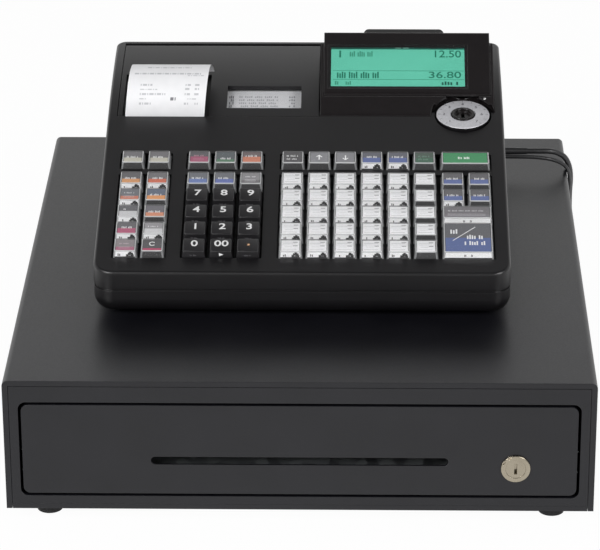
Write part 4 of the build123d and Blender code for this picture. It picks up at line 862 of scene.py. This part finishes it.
def clear_caps(bm, x, u, extra_x=0.0, extra_u=0.0):
    """The clear cap over a key: thin on its top and front, thick along its edges, where lighter
    and less clear finishes paint the light the plastic catches.
    """
    shape = cap_shape(extra_x, extra_u)
    for face in shape.faces:
        if face.normal.z > 0.97 or face.normal.y < -0.97:
            face.material_index = 0
        # The top bevels take the lighter edge finish, painted highlight; the sides take the grey
        # side finish, painted light.
        elif face.normal.z > 0.45:
            face.material_index = 2
        else:
            face.material_index = 1
    add_shape(bm, shape, Matrix.Translation((x, u, 0)))


def add_stem(bm, x, u):
    """The square stem that carries a key down to its guide."""
    half = STEM_SIZE / 2
    slab(
        bm, Matrix.Translation((x, u, 0)), -half, half, -half, half,
        -CAP_SKIRT - STEM_LENGTH, -CAP_SKIRT + 0.2, 0,
    )


def key_set(node, keys):
    """A CAD node's clear keys: cores with their cards, and the caps over them."""
    sheet = LabelSheet(black_key)
    caps = bmesh.new()
    for seed, (x, u, style, extra_x, extra_u) in enumerate(keys):
        clear_key(sheet, x, u, style, extra_x, extra_u, seed)
        clear_caps(caps, x, u, extra_x, extra_u)
        for stem_x in {x - extra_x / 2, x + extra_x / 2}:
            for stem_u in {u - extra_u / 2, u + extra_u / 2}:
                add_stem(sheet.bm, stem_x, stem_u)
    cores = finished(node + "_cards", sheet.bm, DECK, sheet.finishes, node)
    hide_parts(node)
    finished(node + "_clear_caps", caps, DECK, [cap_face, cap_side_painted_light, cap_edge_painted_highlight], node)


def style(top, band, share, front="dark", marks="word", mark="#d8d8d8"):
    return (top, band, share, front, marks, mark)


LEFT_STYLES = [
    [style("#6b696c", "#b9b6a8", 0.42), style("#6b696c", "#b9b6a8", 0.42)],
    [style("#5c5a5d", "#cf935f", 0.4, "white"), style("#6b696c", "#c7664a", 0.4, "white")],
    [
        style("#67696f", "#c2745c", 0.34, "white", "small", "#b9b9bb"),
        style("#596274", "#d8935a", 0.4),
    ],
    [style("#5c5c60", "#c4c4c6", 0.5, "white", "spot"), style("#66636a", "#cb8666", 0.38)],
    [
        style("#5e5c60", "#a9506f", 0.48, "white"),
        style("#8f8d90", "#c4c4c6", 0.45, "white", "small", "#cfcfd1"),
    ],
    [
        style("#857d80", "#a4607a", 0.34, "white", "small", "#b4a4aa"),
        style("#474548", "#a8365c", 0.22, marks="ring"),
    ],
]
MIDDLE_TOP_STYLES = [
    style("#545256", "#a04c6a", 0.55, marks="small", mark="#b08090"),
    style("#50565a", "#4c7459", 0.3),
    style("#66595a", "#c5785c", 0.55),
]
MIDDLE_STYLES = [
    style("#66686f", "#6478ae", 0.42),
    style("#66686f", "#5c6aa6", 0.42),
    style("#858386", "#6b696c", 0.3, marks="small", mark="#d0d0d2"),
]
SERVICE_STYLES = [
    style("#4a484b", "#4a484b", 0.5, marks="lines"),
    style("#828286", "#828286", 0.5, marks="up"),
    style("#828286", "#828286", 0.5, marks="down"),
    style("#5b5c66", "#54649a", 0.5, "white"),
    style("#5b5c66", "#54649a", 0.5, "white"),
    style("#3f5146", "#335c47", 0.5, marks="lines", mark="#5f8470"),
]
HELP_STYLE = style("#2f8a55", "#2f8a55", 0.45, marks="short", mark="#e6f0ea")
TENDER_STYLES = [
    [style("#5a585c", "#55659a", 0.45), style("#5a585c", "#55659a", 0.45)],
    [style("#5a585c", "#55659a", 0.45, "white"), style("#5a585c", "#55659a", 0.45)],
]
PRICE_STYLE = style("#e2e2e4", "#ececee", 0.5, "white", "price")
PRICE_DARK_STYLE = style("#e2e2e4", "#ececee", 0.5, "dark", "price")


def add_clear_keys():
    keys = []
    for row, row_styles in zip([TOP_ROW] + ROWS, LEFT_STYLES):
        for x, key_style in zip(columns(LEFT_COLUMN, 2), row_styles):
            keys.append((x, row, key_style, 0, 0))
    for x, key_style in zip(columns(MIDDLE_COLUMN, 3), MIDDLE_TOP_STYLES):
        keys.append((x, TOP_ROW, key_style, 0, 0))
    for x, key_style in zip(columns(MIDDLE_COLUMN, 3), MIDDLE_STYLES):
        keys.append((x, ROWS[0], key_style, 0, 0))
    key_set("function_keys", keys)

    keys = []
    for row in ROWS:
        for number, x in enumerate(columns(RIGHT_COLUMN, 6)):
            keys.append((x, row, PRICE_DARK_STYLE if number == 5 else PRICE_STYLE, 0, 0))
    key_set("department_keys", keys)

    keys = []
    for x, key_style in zip(columns(RIGHT_COLUMN, 6), SERVICE_STYLES):
        keys.append((x, TOP_ROW, key_style, 0, 0))
    tender_middle = TENDER_COLUMN + PITCH_X / 2
    keys.append((tender_middle, TOP_ROW, HELP_STYLE, PITCH_X, 0))
    for row, row_styles in zip(ROWS, TENDER_STYLES):
        for x, key_style in zip(columns(TENDER_COLUMN, 2), row_styles):
            keys.append((x, row, key_style, 0, 0))
    key_set("service_keys", keys)

    subtotal = style("#6b686c", "#747176", 0.3, "plain", "small", "#b9b6ba")
    key_set("key_subtotal", [(tender_middle, ROWS[2], subtotal, PITCH_X, 0)])
    cash = style("#56565b", "#4a5c90", 0.5, "plain", "tender")
    key_set("key_cash", [(tender_middle, (ROWS[3] + ROWS[4]) / 2, cash, PITCH_X, PITCH_U)])


TRIANGLE_RADIUS = 1.7
NUMERAL_HEIGHT = 6.4
NUMERAL_SPREAD = 1.15
NUMERAL_SPOT = (0.4, 1.2)
NUMBER_KEYS = [("7", "8", "9"), ("4", "5", "6"), ("1", "2", "3"), ("0", "00", "point")]


def triangle_mark(sheet, place, colour):
    """A small solid triangle that points to the right."""
    quarter_turn = Matrix.Rotation(math.radians(-90), 4, "Z")
    made = bmesh.ops.create_cone(
        sheet.bm, cap_ends=True, segments=3, depth=PATCH_DEPTH,
        radius1=TRIANGLE_RADIUS, radius2=TRIANGLE_RADIUS,
        matrix=place @ Matrix.Diagonal((1.2, 0.9, 1, 1)) @ quarter_turn,
    )
    slot = sheet.slot(colour)
    for face in {face for vert in made["verts"] for face in vert.link_faces}:
        face.material_index = slot


def number_legend(name, seed):
    """A number key's white figure, or its point, and the small mark on its front."""
    legend = LabelSheet(white_shot)
    across, along = NUMERAL_SPOT
    top = Matrix.Translation((across, -CAP_SHIFT + along, CAP_HEIGHT + 0.01))
    if name == "point":
        legend.patch(top, -0.8, 0.8, -1.8, -0.2, 0.04, "#dcae84")
    else:
        spread = Matrix.Diagonal((NUMERAL_SPREAD, 1, 1, 1))
        add_figures(legend.bm, name, NUMERAL_HEIGHT, top @ spread, 0)
    front = front_place(0, 0) @ Matrix.Translation((0, 0, CAP_WALL))
    if name == "00":
        triangle_mark(legend, front, "#e4e4e4")
    else:
        word_marks(legend, front, -2.6, 2.8, -1.4, 0.0, "#5c5b5e", seed, 0.8)
    return legend


def add_number_keys():
    """Opaque keys with white figures moulded through their tops."""
    for row, names in zip(ROWS[1:], NUMBER_KEYS):
        for seed, (x, name) in enumerate(zip(columns(MIDDLE_COLUMN, 3), names)):
            node = "key_" + name
            body = cap_shape()
            add_stem(body, 0, 0)
            at_key = DECK @ Matrix.Translation((x, row, 0))
            cap = finished(node + "_moulding", body, at_key, [black_key], node)
            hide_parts(node)
            legend = number_legend(name, seed)
            finished(node + "_legend", legend.bm, at_key, legend.finishes, node, smooth=False)


# ---- display
def lcd_glass():
    """Backlit liquid crystal under glass: an even blue-green that glows, faintly clouded."""
    glow = "#5ab59c"
    material, tree, shader = new_finish("lcd_glass", glow, 0.3, ior=1.5, emission_strength=0.4)
    shader.inputs["Emission Color"].default_value = linear(glow)
    grit(tree, shader, ("#56b198", "#5eb9a0"), 3.0, 0.0, edge=0.05)
    return material


LCD_LEFT, LCD_RIGHT, LCD_FRONT, LCD_BACK = 18.8, 120.6, 31.6, 71.9
LCD_TOP = -1.86
LCD_SHADE_BAND_DEPTH = 3.0
LCD_RULE_HEIGHT = 0.45
LCD_SHADE_BAND_LIFT, LCD_RULE_LIFT = 0.04, 0.05
LCD_RULES = (47.0, 38.2)
LCD_DARK = "#1d7f66"
LCD_FAINT = "#3a9a7e"
# The darker band along the panel's top is painted shadow of the lens recess, with small marks on
# it.
LCD_SHADE_BAND = LCD_BACK - LCD_SHADE_BAND_DEPTH
LCD_FIRST_ROW = (LCD_SHADE_BAND - 8.4, LCD_SHADE_BAND - 1.4)
LCD_TOTAL_ROW = (LCD_RULES[1] + 1.4, LCD_RULES[0] - 1.0)
LCD_LAST_ROW = (LCD_FRONT + 1.4, LCD_RULES[1] - 1.6)
# Unreadable words: from and to across, low and high, colour, seed and stroke spacing.
LCD_SHADE_BAND_WORDS = [
    (68.0, 79.0, LCD_SHADE_BAND + 0.7, LCD_BACK - 0.8, "#7fb9a8", 1, 1.5),
    (95.0, 116.0, LCD_SHADE_BAND + 0.5, LCD_BACK - 1.0, "#08372e", 2, 1.4),
]
LCD_WORDS = [
    (25.0, 27.6, *LCD_FIRST_ROW, LCD_DARK, 0, 2.2),
    (33.0, 51.5, LCD_FIRST_ROW[0] + 1.0, LCD_FIRST_ROW[1] - 0.6, LCD_FAINT, 1, 1.5),
    (21.6, 57.0, *LCD_TOTAL_ROW, LCD_DARK, 3, 1.8),
    (22.0, 25.0, *LCD_LAST_ROW, LCD_FAINT, 0, 1.5),
    (30.0, 35.0, *LCD_LAST_ROW, LCD_FAINT, 1, 1.5),
    (103.0, 118.0, *LCD_LAST_ROW, "#10604f", 2, 2.2),
]
# Prices: text, middle, how much wider than the plain figures, and row.
LCD_PRICES = [("12.50", 107.2, 1.0, LCD_FIRST_ROW), ("36.80", 105.4, 1.25, LCD_TOTAL_ROW)]


def add_lcd():
    """The lit panel, a darker top band of painted shadow from the lens recess, two rules, two
    prices and rows of small marks.
    """
    sheet = LabelSheet(lcd_glass())
    flat = Matrix.Identity(4)
    slab(sheet.bm, flat, LCD_LEFT, LCD_RIGHT, LCD_FRONT, LCD_BACK, LCD_TOP - 0.1, LCD_TOP, 0)
    place = Matrix.Translation((0, 0, LCD_TOP))
    # Painted shadow: the lens recess darkens a band along the panel's top.
    sheet.patch(place, LCD_LEFT, LCD_RIGHT, LCD_SHADE_BAND, LCD_BACK, LCD_SHADE_BAND_LIFT, "#115a4c")
    for words in LCD_SHADE_BAND_WORDS:
        word_marks(sheet, place, *words)
    for low in LCD_RULES:
        high = low + LCD_RULE_HEIGHT
        sheet.patch(place, LCD_LEFT + 1.5, LCD_RIGHT - 0.6, low, high, LCD_RULE_LIFT, LCD_FAINT)
    for words in LCD_WORDS:
        word_marks(sheet, place, *words)
    digits = sheet.slot(LCD_DARK)
    for price, middle, spread, row in LCD_PRICES:
        spot = Matrix.Translation((middle, sum(row) / 2, LCD_TOP + LCD_RULE_LIFT))
        wide = Matrix.Diagonal((spread, 1, 1, 1))
        add_figures(sheet.bm, price, row[1] - row[0], spot @ wide, digits, weight=THIN_WEIGHT)
    finished("lcd_face", sheet.bm, DISPLAY, sheet.finishes, "display_head", smooth=False)


# ---- mode switch
RING_RADIUS = 20.0
RING_TOP = 0.6
RING_BORE = 9.0
RING_FOOT = -9.5
RING_SHOULDER = -7.0
RING_FLANGE = 23.5
RING_CHAMFER = 0.5
RING_STEPS = 72
RING_OUTLINE = [
    (RING_BORE, RING_FOOT), (RING_FLANGE, RING_FOOT), (RING_FLANGE, RING_SHOULDER),
    (RING_RADIUS, RING_SHOULDER), (RING_RADIUS, RING_TOP - RING_CHAMFER),
    (RING_RADIUS - RING_CHAMFER, RING_TOP), (RING_BORE + RING_CHAMFER, RING_TOP),
    (RING_BORE, RING_TOP - RING_CHAMFER),
]
# The dial's ticks run clockwise from its first angle, and every other one has a figure.
DIAL_TICKS = 13
DIAL_FIRST_ANGLE = 225
DIAL_STEP_ANGLE = 22.5
TICK_INNER, TICK_OUTER, TICK_HALF_WIDTH, TICK_LIFT = 17.0, 18.8, 0.18, 0.04
DIAL_FIGURE_RADIUS = 14.2
DIAL_FIGURE_HEIGHT = 3.0
TICK_GREY = "#55555a"
DIAL_FIGURE_GREY = "#4c4c50"
POINTER_SPOT = (135.2, 17.7)
POINTER_ANGLE = 42
POINTER_HALF_LENGTH, POINTER_HALF_WIDTH = 0.9, 0.6


def ring_shape():
    """The ring's outline, spun into a solid; its top and its inner rim are silver."""
    bm = bmesh.new()
    verts = [bm.verts.new((radius, 0, height)) for radius, height in RING_OUTLINE]
    edges = [bm.edges.new(pair) for pair in zip(verts, verts[1:] + verts[:1])]
    bmesh.ops.spin(
        bm, geom=verts + edges, axis=(0, 0, 1), cent=(0, 0, 0), dvec=(0, 0, 0),
        angle=2 * math.pi, steps=RING_STEPS, use_merge=True,
    )
    bmesh.ops.remove_doubles(bm, verts=bm.verts, dist=0.001)
    bmesh.ops.recalc_face_normals(bm, faces=bm.faces)
    for face in bm.faces:
        middle = face.calc_center_median()
        face.material_index = 1 if middle.z > RING_TOP - RING_CHAMFER else 0
    return bm


def add_mode_ring():
    """A moulded ring with a silver face, marked like a dial; its skirt is black."""
    sheet = LabelSheet(case_abs)
    sheet.finishes.append(silver)
    ring = ring_shape()
    add_shape(sheet.bm, ring, Matrix.Identity(4))
    ring.free()
    top = Matrix.Translation((0, 0, RING_TOP))
    for number in range(DIAL_TICKS):
        angle = DIAL_FIRST_ANGLE - DIAL_STEP_ANGLE * number
        turned = slanted(top, 0, 0, angle)
        half = TICK_HALF_WIDTH
        sheet.patch(turned, TICK_INNER, TICK_OUTER, -half, half, TICK_LIFT, TICK_GREY)
        if number % 2 == 0:
            upright = Matrix.Rotation(math.radians(-angle), 4, "Z")
            spot = turned @ Matrix.Translation((DIAL_FIGURE_RADIUS, 0, 0.02)) @ upright
            slot = sheet.slot(DIAL_FIGURE_GREY)
            figure = str(number // 2 + 1)
            add_figures(sheet.bm, figure, DIAL_FIGURE_HEIGHT, spot, slot, weight=THIN_WEIGHT)
    piece = finished("mode_ring_dial", sheet.bm, MODE, sheet.finishes, "casing")
    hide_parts("mode_ring")


def add_mode_pointer():
    """The small white mark beside the ring, which shows the mode that is set."""
    bm = bmesh.new()
    spot = slanted(Matrix.Identity(4), *POINTER_SPOT, POINTER_ANGLE)
    slab(
        bm, spot, -POINTER_HALF_LENGTH, POINTER_HALF_LENGTH,
        -POINTER_HALF_WIDTH, POINTER_HALF_WIDTH, -0.05, 0.12, 0,
    )
    finished("mode_pointer", bm, DISPLAY, [white_shot], "casing", smooth=False)


# ---- paper
SLIP_LEFT, SLIP_RIGHT = -136.1, -76.5
SLIP_FRONT = 57.5
SLIP_FOOT = 188.5
SLIP_BEND_HEIGHT = 200.0
SLIP_CURL = 25.5
SLIP_END = 148.0
SLIP_SKEW = 0.085
SLIP_CELL = 0.8
# Rows of print on the slip: height along it, its depth, and from and to across the paper.
SLIP_PRINT = [
    (49.6, 2.0, 12.0, 46.0), (41.6, 1.8, 4.0, 54.0), (39.4, 1.2, 44.0, 56.0),
    (31.2, 1.2, 9.0, 18.5), (27.6, 1.2, 9.0, 22.5), (24.0, 1.2, 10.0, 29.0),
    (20.4, 1.2, 10.0, 14.5), (16.9, 1.2, 10.0, 18.5), (20.4, 1.4, 46.0, 53.0),
]
SLIP_PRINT += [
    (along, 1.6, start, end)
    for along in (31.2, 27.6, 24.0, 16.9)
    for start, end in ((43.5, 47.5), (50.5, 54.0))
]
SLIP_BOLD = [(20.4, 1.8, 33.0, 37.0)]
SLIP_INKS = {
    "thermal_paper": "#e8e8ea", "thermal_print": "#bdbdc1", "thermal_print_bold": "#77777c",
}


def is_printed(rows, along, across):
    """Whether a cell of the slip is inked: dots in rows, with gaps between the characters."""
    for row, depth, start, end in rows:
        if abs(along - row) < depth / 2 and start < across < end:
            cell = int(across / SLIP_CELL)
            return (cell * 5 + int(row)) % 7 not in (2, 5)
    return False


def add_receipt_slip():
    """The printed slip: upright at its tear edge, curling back and drifting to the right."""
    straight = SLIP_BEND_HEIGHT - SLIP_FOOT
    length = straight + SLIP_CURL * math.radians(SLIP_END)
    width = SLIP_RIGHT - SLIP_LEFT
    bm = bmesh.new()
    bmesh.ops.create_grid(
        bm, x_segments=round(width / SLIP_CELL), y_segments=round(length / SLIP_CELL), size=0.5
    )
    for face in bm.faces:
        spot = face.calc_center_median()
        across, along = (spot.x + 0.5) * width, (spot.y + 0.5) * length
        bold = is_printed(SLIP_BOLD, along, across)
        face.material_index = 2 if bold else 1 if is_printed(SLIP_PRINT, along, across) else 0
    for vert in bm.verts:
        across, along = (vert.co.x + 0.5) * width, (vert.co.y + 0.5) * length
        angle = max(along - straight, 0) / SLIP_CURL
        drift = SLIP_SKEW * max(along - straight / 2, 0)
        vert.co = (
            SLIP_LEFT + across + drift,
            SLIP_FRONT + SLIP_CURL * (1 - math.cos(angle)),
            SLIP_FOOT + min(along, straight) + SLIP_CURL * math.sin(angle),
        )
    bmesh.ops.recalc_face_normals(bm, faces=bm.faces)
    finishes = [thermal_paper(name, colour) for name, colour in SLIP_INKS.items()]
    slip = finished("receipt_slip", bm, Matrix.Scale(MM, 4), finishes, "printer_cover")
    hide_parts("receipt_paper")


JOURNAL_ORIGIN = (0.0, 80.75, 202.2)
JOURNAL_ANGLE = 12.2
JOURNAL_DEPTH = -6.19
JOURNAL_ROWS = (7.6, 3.4, -0.8, -5.0, -9.2)
JOURNAL_ROW_HEIGHT = 2.4
JOURNAL_PAPER = "#ececef"
# Columns of the journal: from and to across, colour, seed and stroke spacing.
JOURNAL_COLUMNS = [(-51.0, -20.0, "#b9b9be", 0, 1.5), (-13.0, -6.6, "#a4a4aa", 1, 1.7)]
DARK_STROKES_LEFT, DARK_STROKES_RIGHT = -58.6, -54.0


def add_journal():
    """The journal strip under its window, with rows of grey print and darker strokes along its
    left edge.
    """
    give_finish("journal_paper", thermal_paper("journal_paper", JOURNAL_PAPER))
    give_finish("journal_roll", thermal_paper("journal_roll_paper", "#dedee0"))
    give_finish("receipt_roll", thermal_paper("receipt_roll_paper", "#e6e6e8"))
    window = sloping_frame(JOURNAL_ORIGIN, JOURNAL_ANGLE)
    sheet = LabelSheet(card(JOURNAL_PAPER))
    place = Matrix.Translation((0, 0, JOURNAL_DEPTH))
    for row, low in enumerate(JOURNAL_ROWS):
        high = low + JOURNAL_ROW_HEIGHT
        for left, right, colour, seed, step in JOURNAL_COLUMNS:
            word_marks(sheet, place, left, right, low, high, colour, row + seed, step)
        # A column of darker, taller strokes along the left edge of the window.
        word_marks(
            sheet, place, DARK_STROKES_LEFT, DARK_STROKES_RIGHT, low - 0.8, high + 0.5, "#8a8a90", row + 2, 1.3
        )
    finished("journal_print", sheet.bm, window, sheet.finishes, "casing", smooth=False)


# ---- floor and light
FLOOR_HALF = 6.0
FLOOR_GLOW = 0.97
# The world's strength: at the back, its share in front, and overhead.
BACK_LIGHT = 0.9
FRONT_SHARE = 0.2
ZENITH_LIGHT = 0.15
# Heights of a direction (0 level, 1 straight up) between which the back turns to the zenith,
# and how far to each side of the object the back turns to the front.
BACK_HEIGHT, ZENITH_HEIGHT = 0.35, 0.88
SIDE_TURN = 0.4
# How fast the white backdrop fades from a reflection, away from the back.
BACKDROP_FALL = 3.0


def seen_by(tree, rays, kinds):
    """One for a ray of any of the given kinds, and nought for all others."""
    seen = rays.outputs[kinds[0]]
    for kind in kinds[1:]:
        either = add_node(
            tree, "ShaderNodeMath", {"operation": "MAXIMUM"}, {0: seen, 1: rays.outputs[kind]}
        )
        seen = either.outputs["Value"]
    return seen


def floor_paper():
    """White studio paper: near white to the camera, with the object's soft shadow on it."""
    material = bpy.data.materials.new("studio_paper")
    material.use_nodes = True
    tree = material.node_tree
    tree.nodes.clear()
    rays = add_node(tree, "ShaderNodeLightPath")
    seen = seen_by(tree, rays, ("Is Camera Ray", "Is Glossy Ray", "Is Transmission Ray"))
    share = add_node(
        tree, "ShaderNodeMath", {"operation": "MULTIPLY"}, {0: seen, 1: FLOOR_GLOW}
    )
    paper = add_node(tree, "ShaderNodeBsdfDiffuse", inputs={"Color": linear("#f2f2f2")})
    white = add_node(
        tree, "ShaderNodeEmission", inputs={"Color": (1, 1, 1, 1), "Strength": 1.0}
    )
    mixed = add_node(
        tree,
        "ShaderNodeMixShader",
        inputs={"Fac": share.outputs["Value"], 1: paper.outputs["BSDF"],
                2: white.outputs["Emission"]},
    )
    add_node(tree, "ShaderNodeOutputMaterial", inputs={"Surface": mixed.outputs["Shader"]})
    return material


def add_floor():
    bm = bmesh.new()
    bmesh.ops.create_grid(bm, x_segments=1, y_segments=1, size=FLOOR_HALF)
    mesh = bpy.data.meshes.new("studio_floor")
    bm.to_mesh(mesh)
    bm.free()
    mesh.materials.append(floor_paper())
    floor = bpy.data.objects.new("studio_floor", mesh)
    bpy.context.collection.objects.link(floor)


def room_strength(tree):
    """How bright the room is in each direction: bright low at the back, dim elsewhere."""
    place = add_node(tree, "ShaderNodeTexCoord")
    parts = add_node(tree, "ShaderNodeSeparateXYZ", inputs={0: place.outputs["Generated"]})
    height = add_node(
        tree,
        "ShaderNodeMapRange",
        {"interpolation_type": "SMOOTHSTEP"},
        {"Value": parts.outputs["Z"], "From Min": BACK_HEIGHT, "From Max": ZENITH_HEIGHT,
         "To Min": BACK_LIGHT, "To Max": ZENITH_LIGHT},
    )
    behind = add_node(
        tree,
        "ShaderNodeMapRange",
        {"interpolation_type": "SMOOTHSTEP"},
        {"Value": parts.outputs["Y"], "From Min": -SIDE_TURN, "From Max": SIDE_TURN,
         "To Min": FRONT_SHARE, "To Max": 1.0},
    )
    strength = add_node(
        tree,
        "ShaderNodeMath",
        {"operation": "MULTIPLY"},
        {0: height.outputs["Result"], 1: behind.outputs["Result"]},
    )
    return strength.outputs["Value"]


def add_world():
    """A studio that is white to the camera, and lights the object from a dimmer room.

    Polished faces and metal see the white too, where a backdrop stands behind the object.
    """
    world = bpy.data.worlds.new("studio")
    world.use_nodes = True
    tree = world.node_tree
    tree.nodes.clear()
    rays = add_node(tree, "ShaderNodeLightPath")
    strength = room_strength(tree)
    backdrop = add_node(
        tree, "ShaderNodeMath", {"operation": "POWER"}, {0: strength, 1: BACKDROP_FALL}
    )
    mirrored = add_node(
        tree,
        "ShaderNodeMath",
        {"operation": "MULTIPLY"},
        {0: rays.outputs["Is Glossy Ray"], 1: backdrop.outputs["Value"]},
    )
    seen = add_node(
        tree,
        "ShaderNodeMath",
        {"operation": "MAXIMUM"},
        {0: seen_by(tree, rays, ("Is Camera Ray", "Is Transmission Ray")),
         1: mirrored.outputs["Value"]},
    )
    dim = add_node(
        tree, "ShaderNodeBackground", inputs={"Color": (1, 1, 1, 1), "Strength": strength}
    )
    white = add_node(
        tree, "ShaderNodeBackground", inputs={"Color": (1, 1, 1, 1), "Strength": 1.0}
    )
    mixed = add_node(
        tree,
        "ShaderNodeMixShader",
        inputs={"Fac": seen.outputs["Value"], 1: dim.outputs["Background"],
                2: white.outputs["Background"]},
    )
    add_node(tree, "ShaderNodeOutputWorld", inputs={"Surface": mixed.outputs["Shader"]})
    bpy.context.scene.world = world


LAMP_TARGET = (0.0, 0.0, 0.15)
# Area lamps in metres and watts: name, place, width, height and power.
LAMPS = [
    ("left_softbox", (-1.3, -1.8, 1.35), 1.1, 0.9, 44),
    ("right_softbox", (1.5, -1.5, 1.3), 0.9, 0.9, 29),
    ("back_softbox", (-1.6, 2.2, 1.15), 2.0, 1.0, 2.0),
]


def add_lamp(name, place, width, height, power):
    """A softbox that faces the middle of the object."""
    data = bpy.data.lights.new(name, "AREA")
    data.shape = "RECTANGLE"
    data.size = width
    data.size_y = height
    data.energy = power
    lamp = bpy.data.objects.new(name, data)
    lamp.location = place
    lamp.rotation_mode = "QUATERNION"
    aim = Vector(LAMP_TARGET) - Vector(place)
    lamp.rotation_quaternion = aim.to_track_quat("-Z", "Y")
    bpy.context.collection.objects.link(lamp)


bpy.context.scene.view_settings.view_transform = "Standard"
for node, material in NODE_FINISHES.items():
    give_finish(node, material)
add_camera()
add_cords()
add_clear_keys()
add_number_keys()
add_lcd()
add_mode_ring()
add_mode_pointer()
add_receipt_slip()
add_journal()
add_floor()
add_world()
for lamp in LAMPS:
    add_lamp(*lamp)
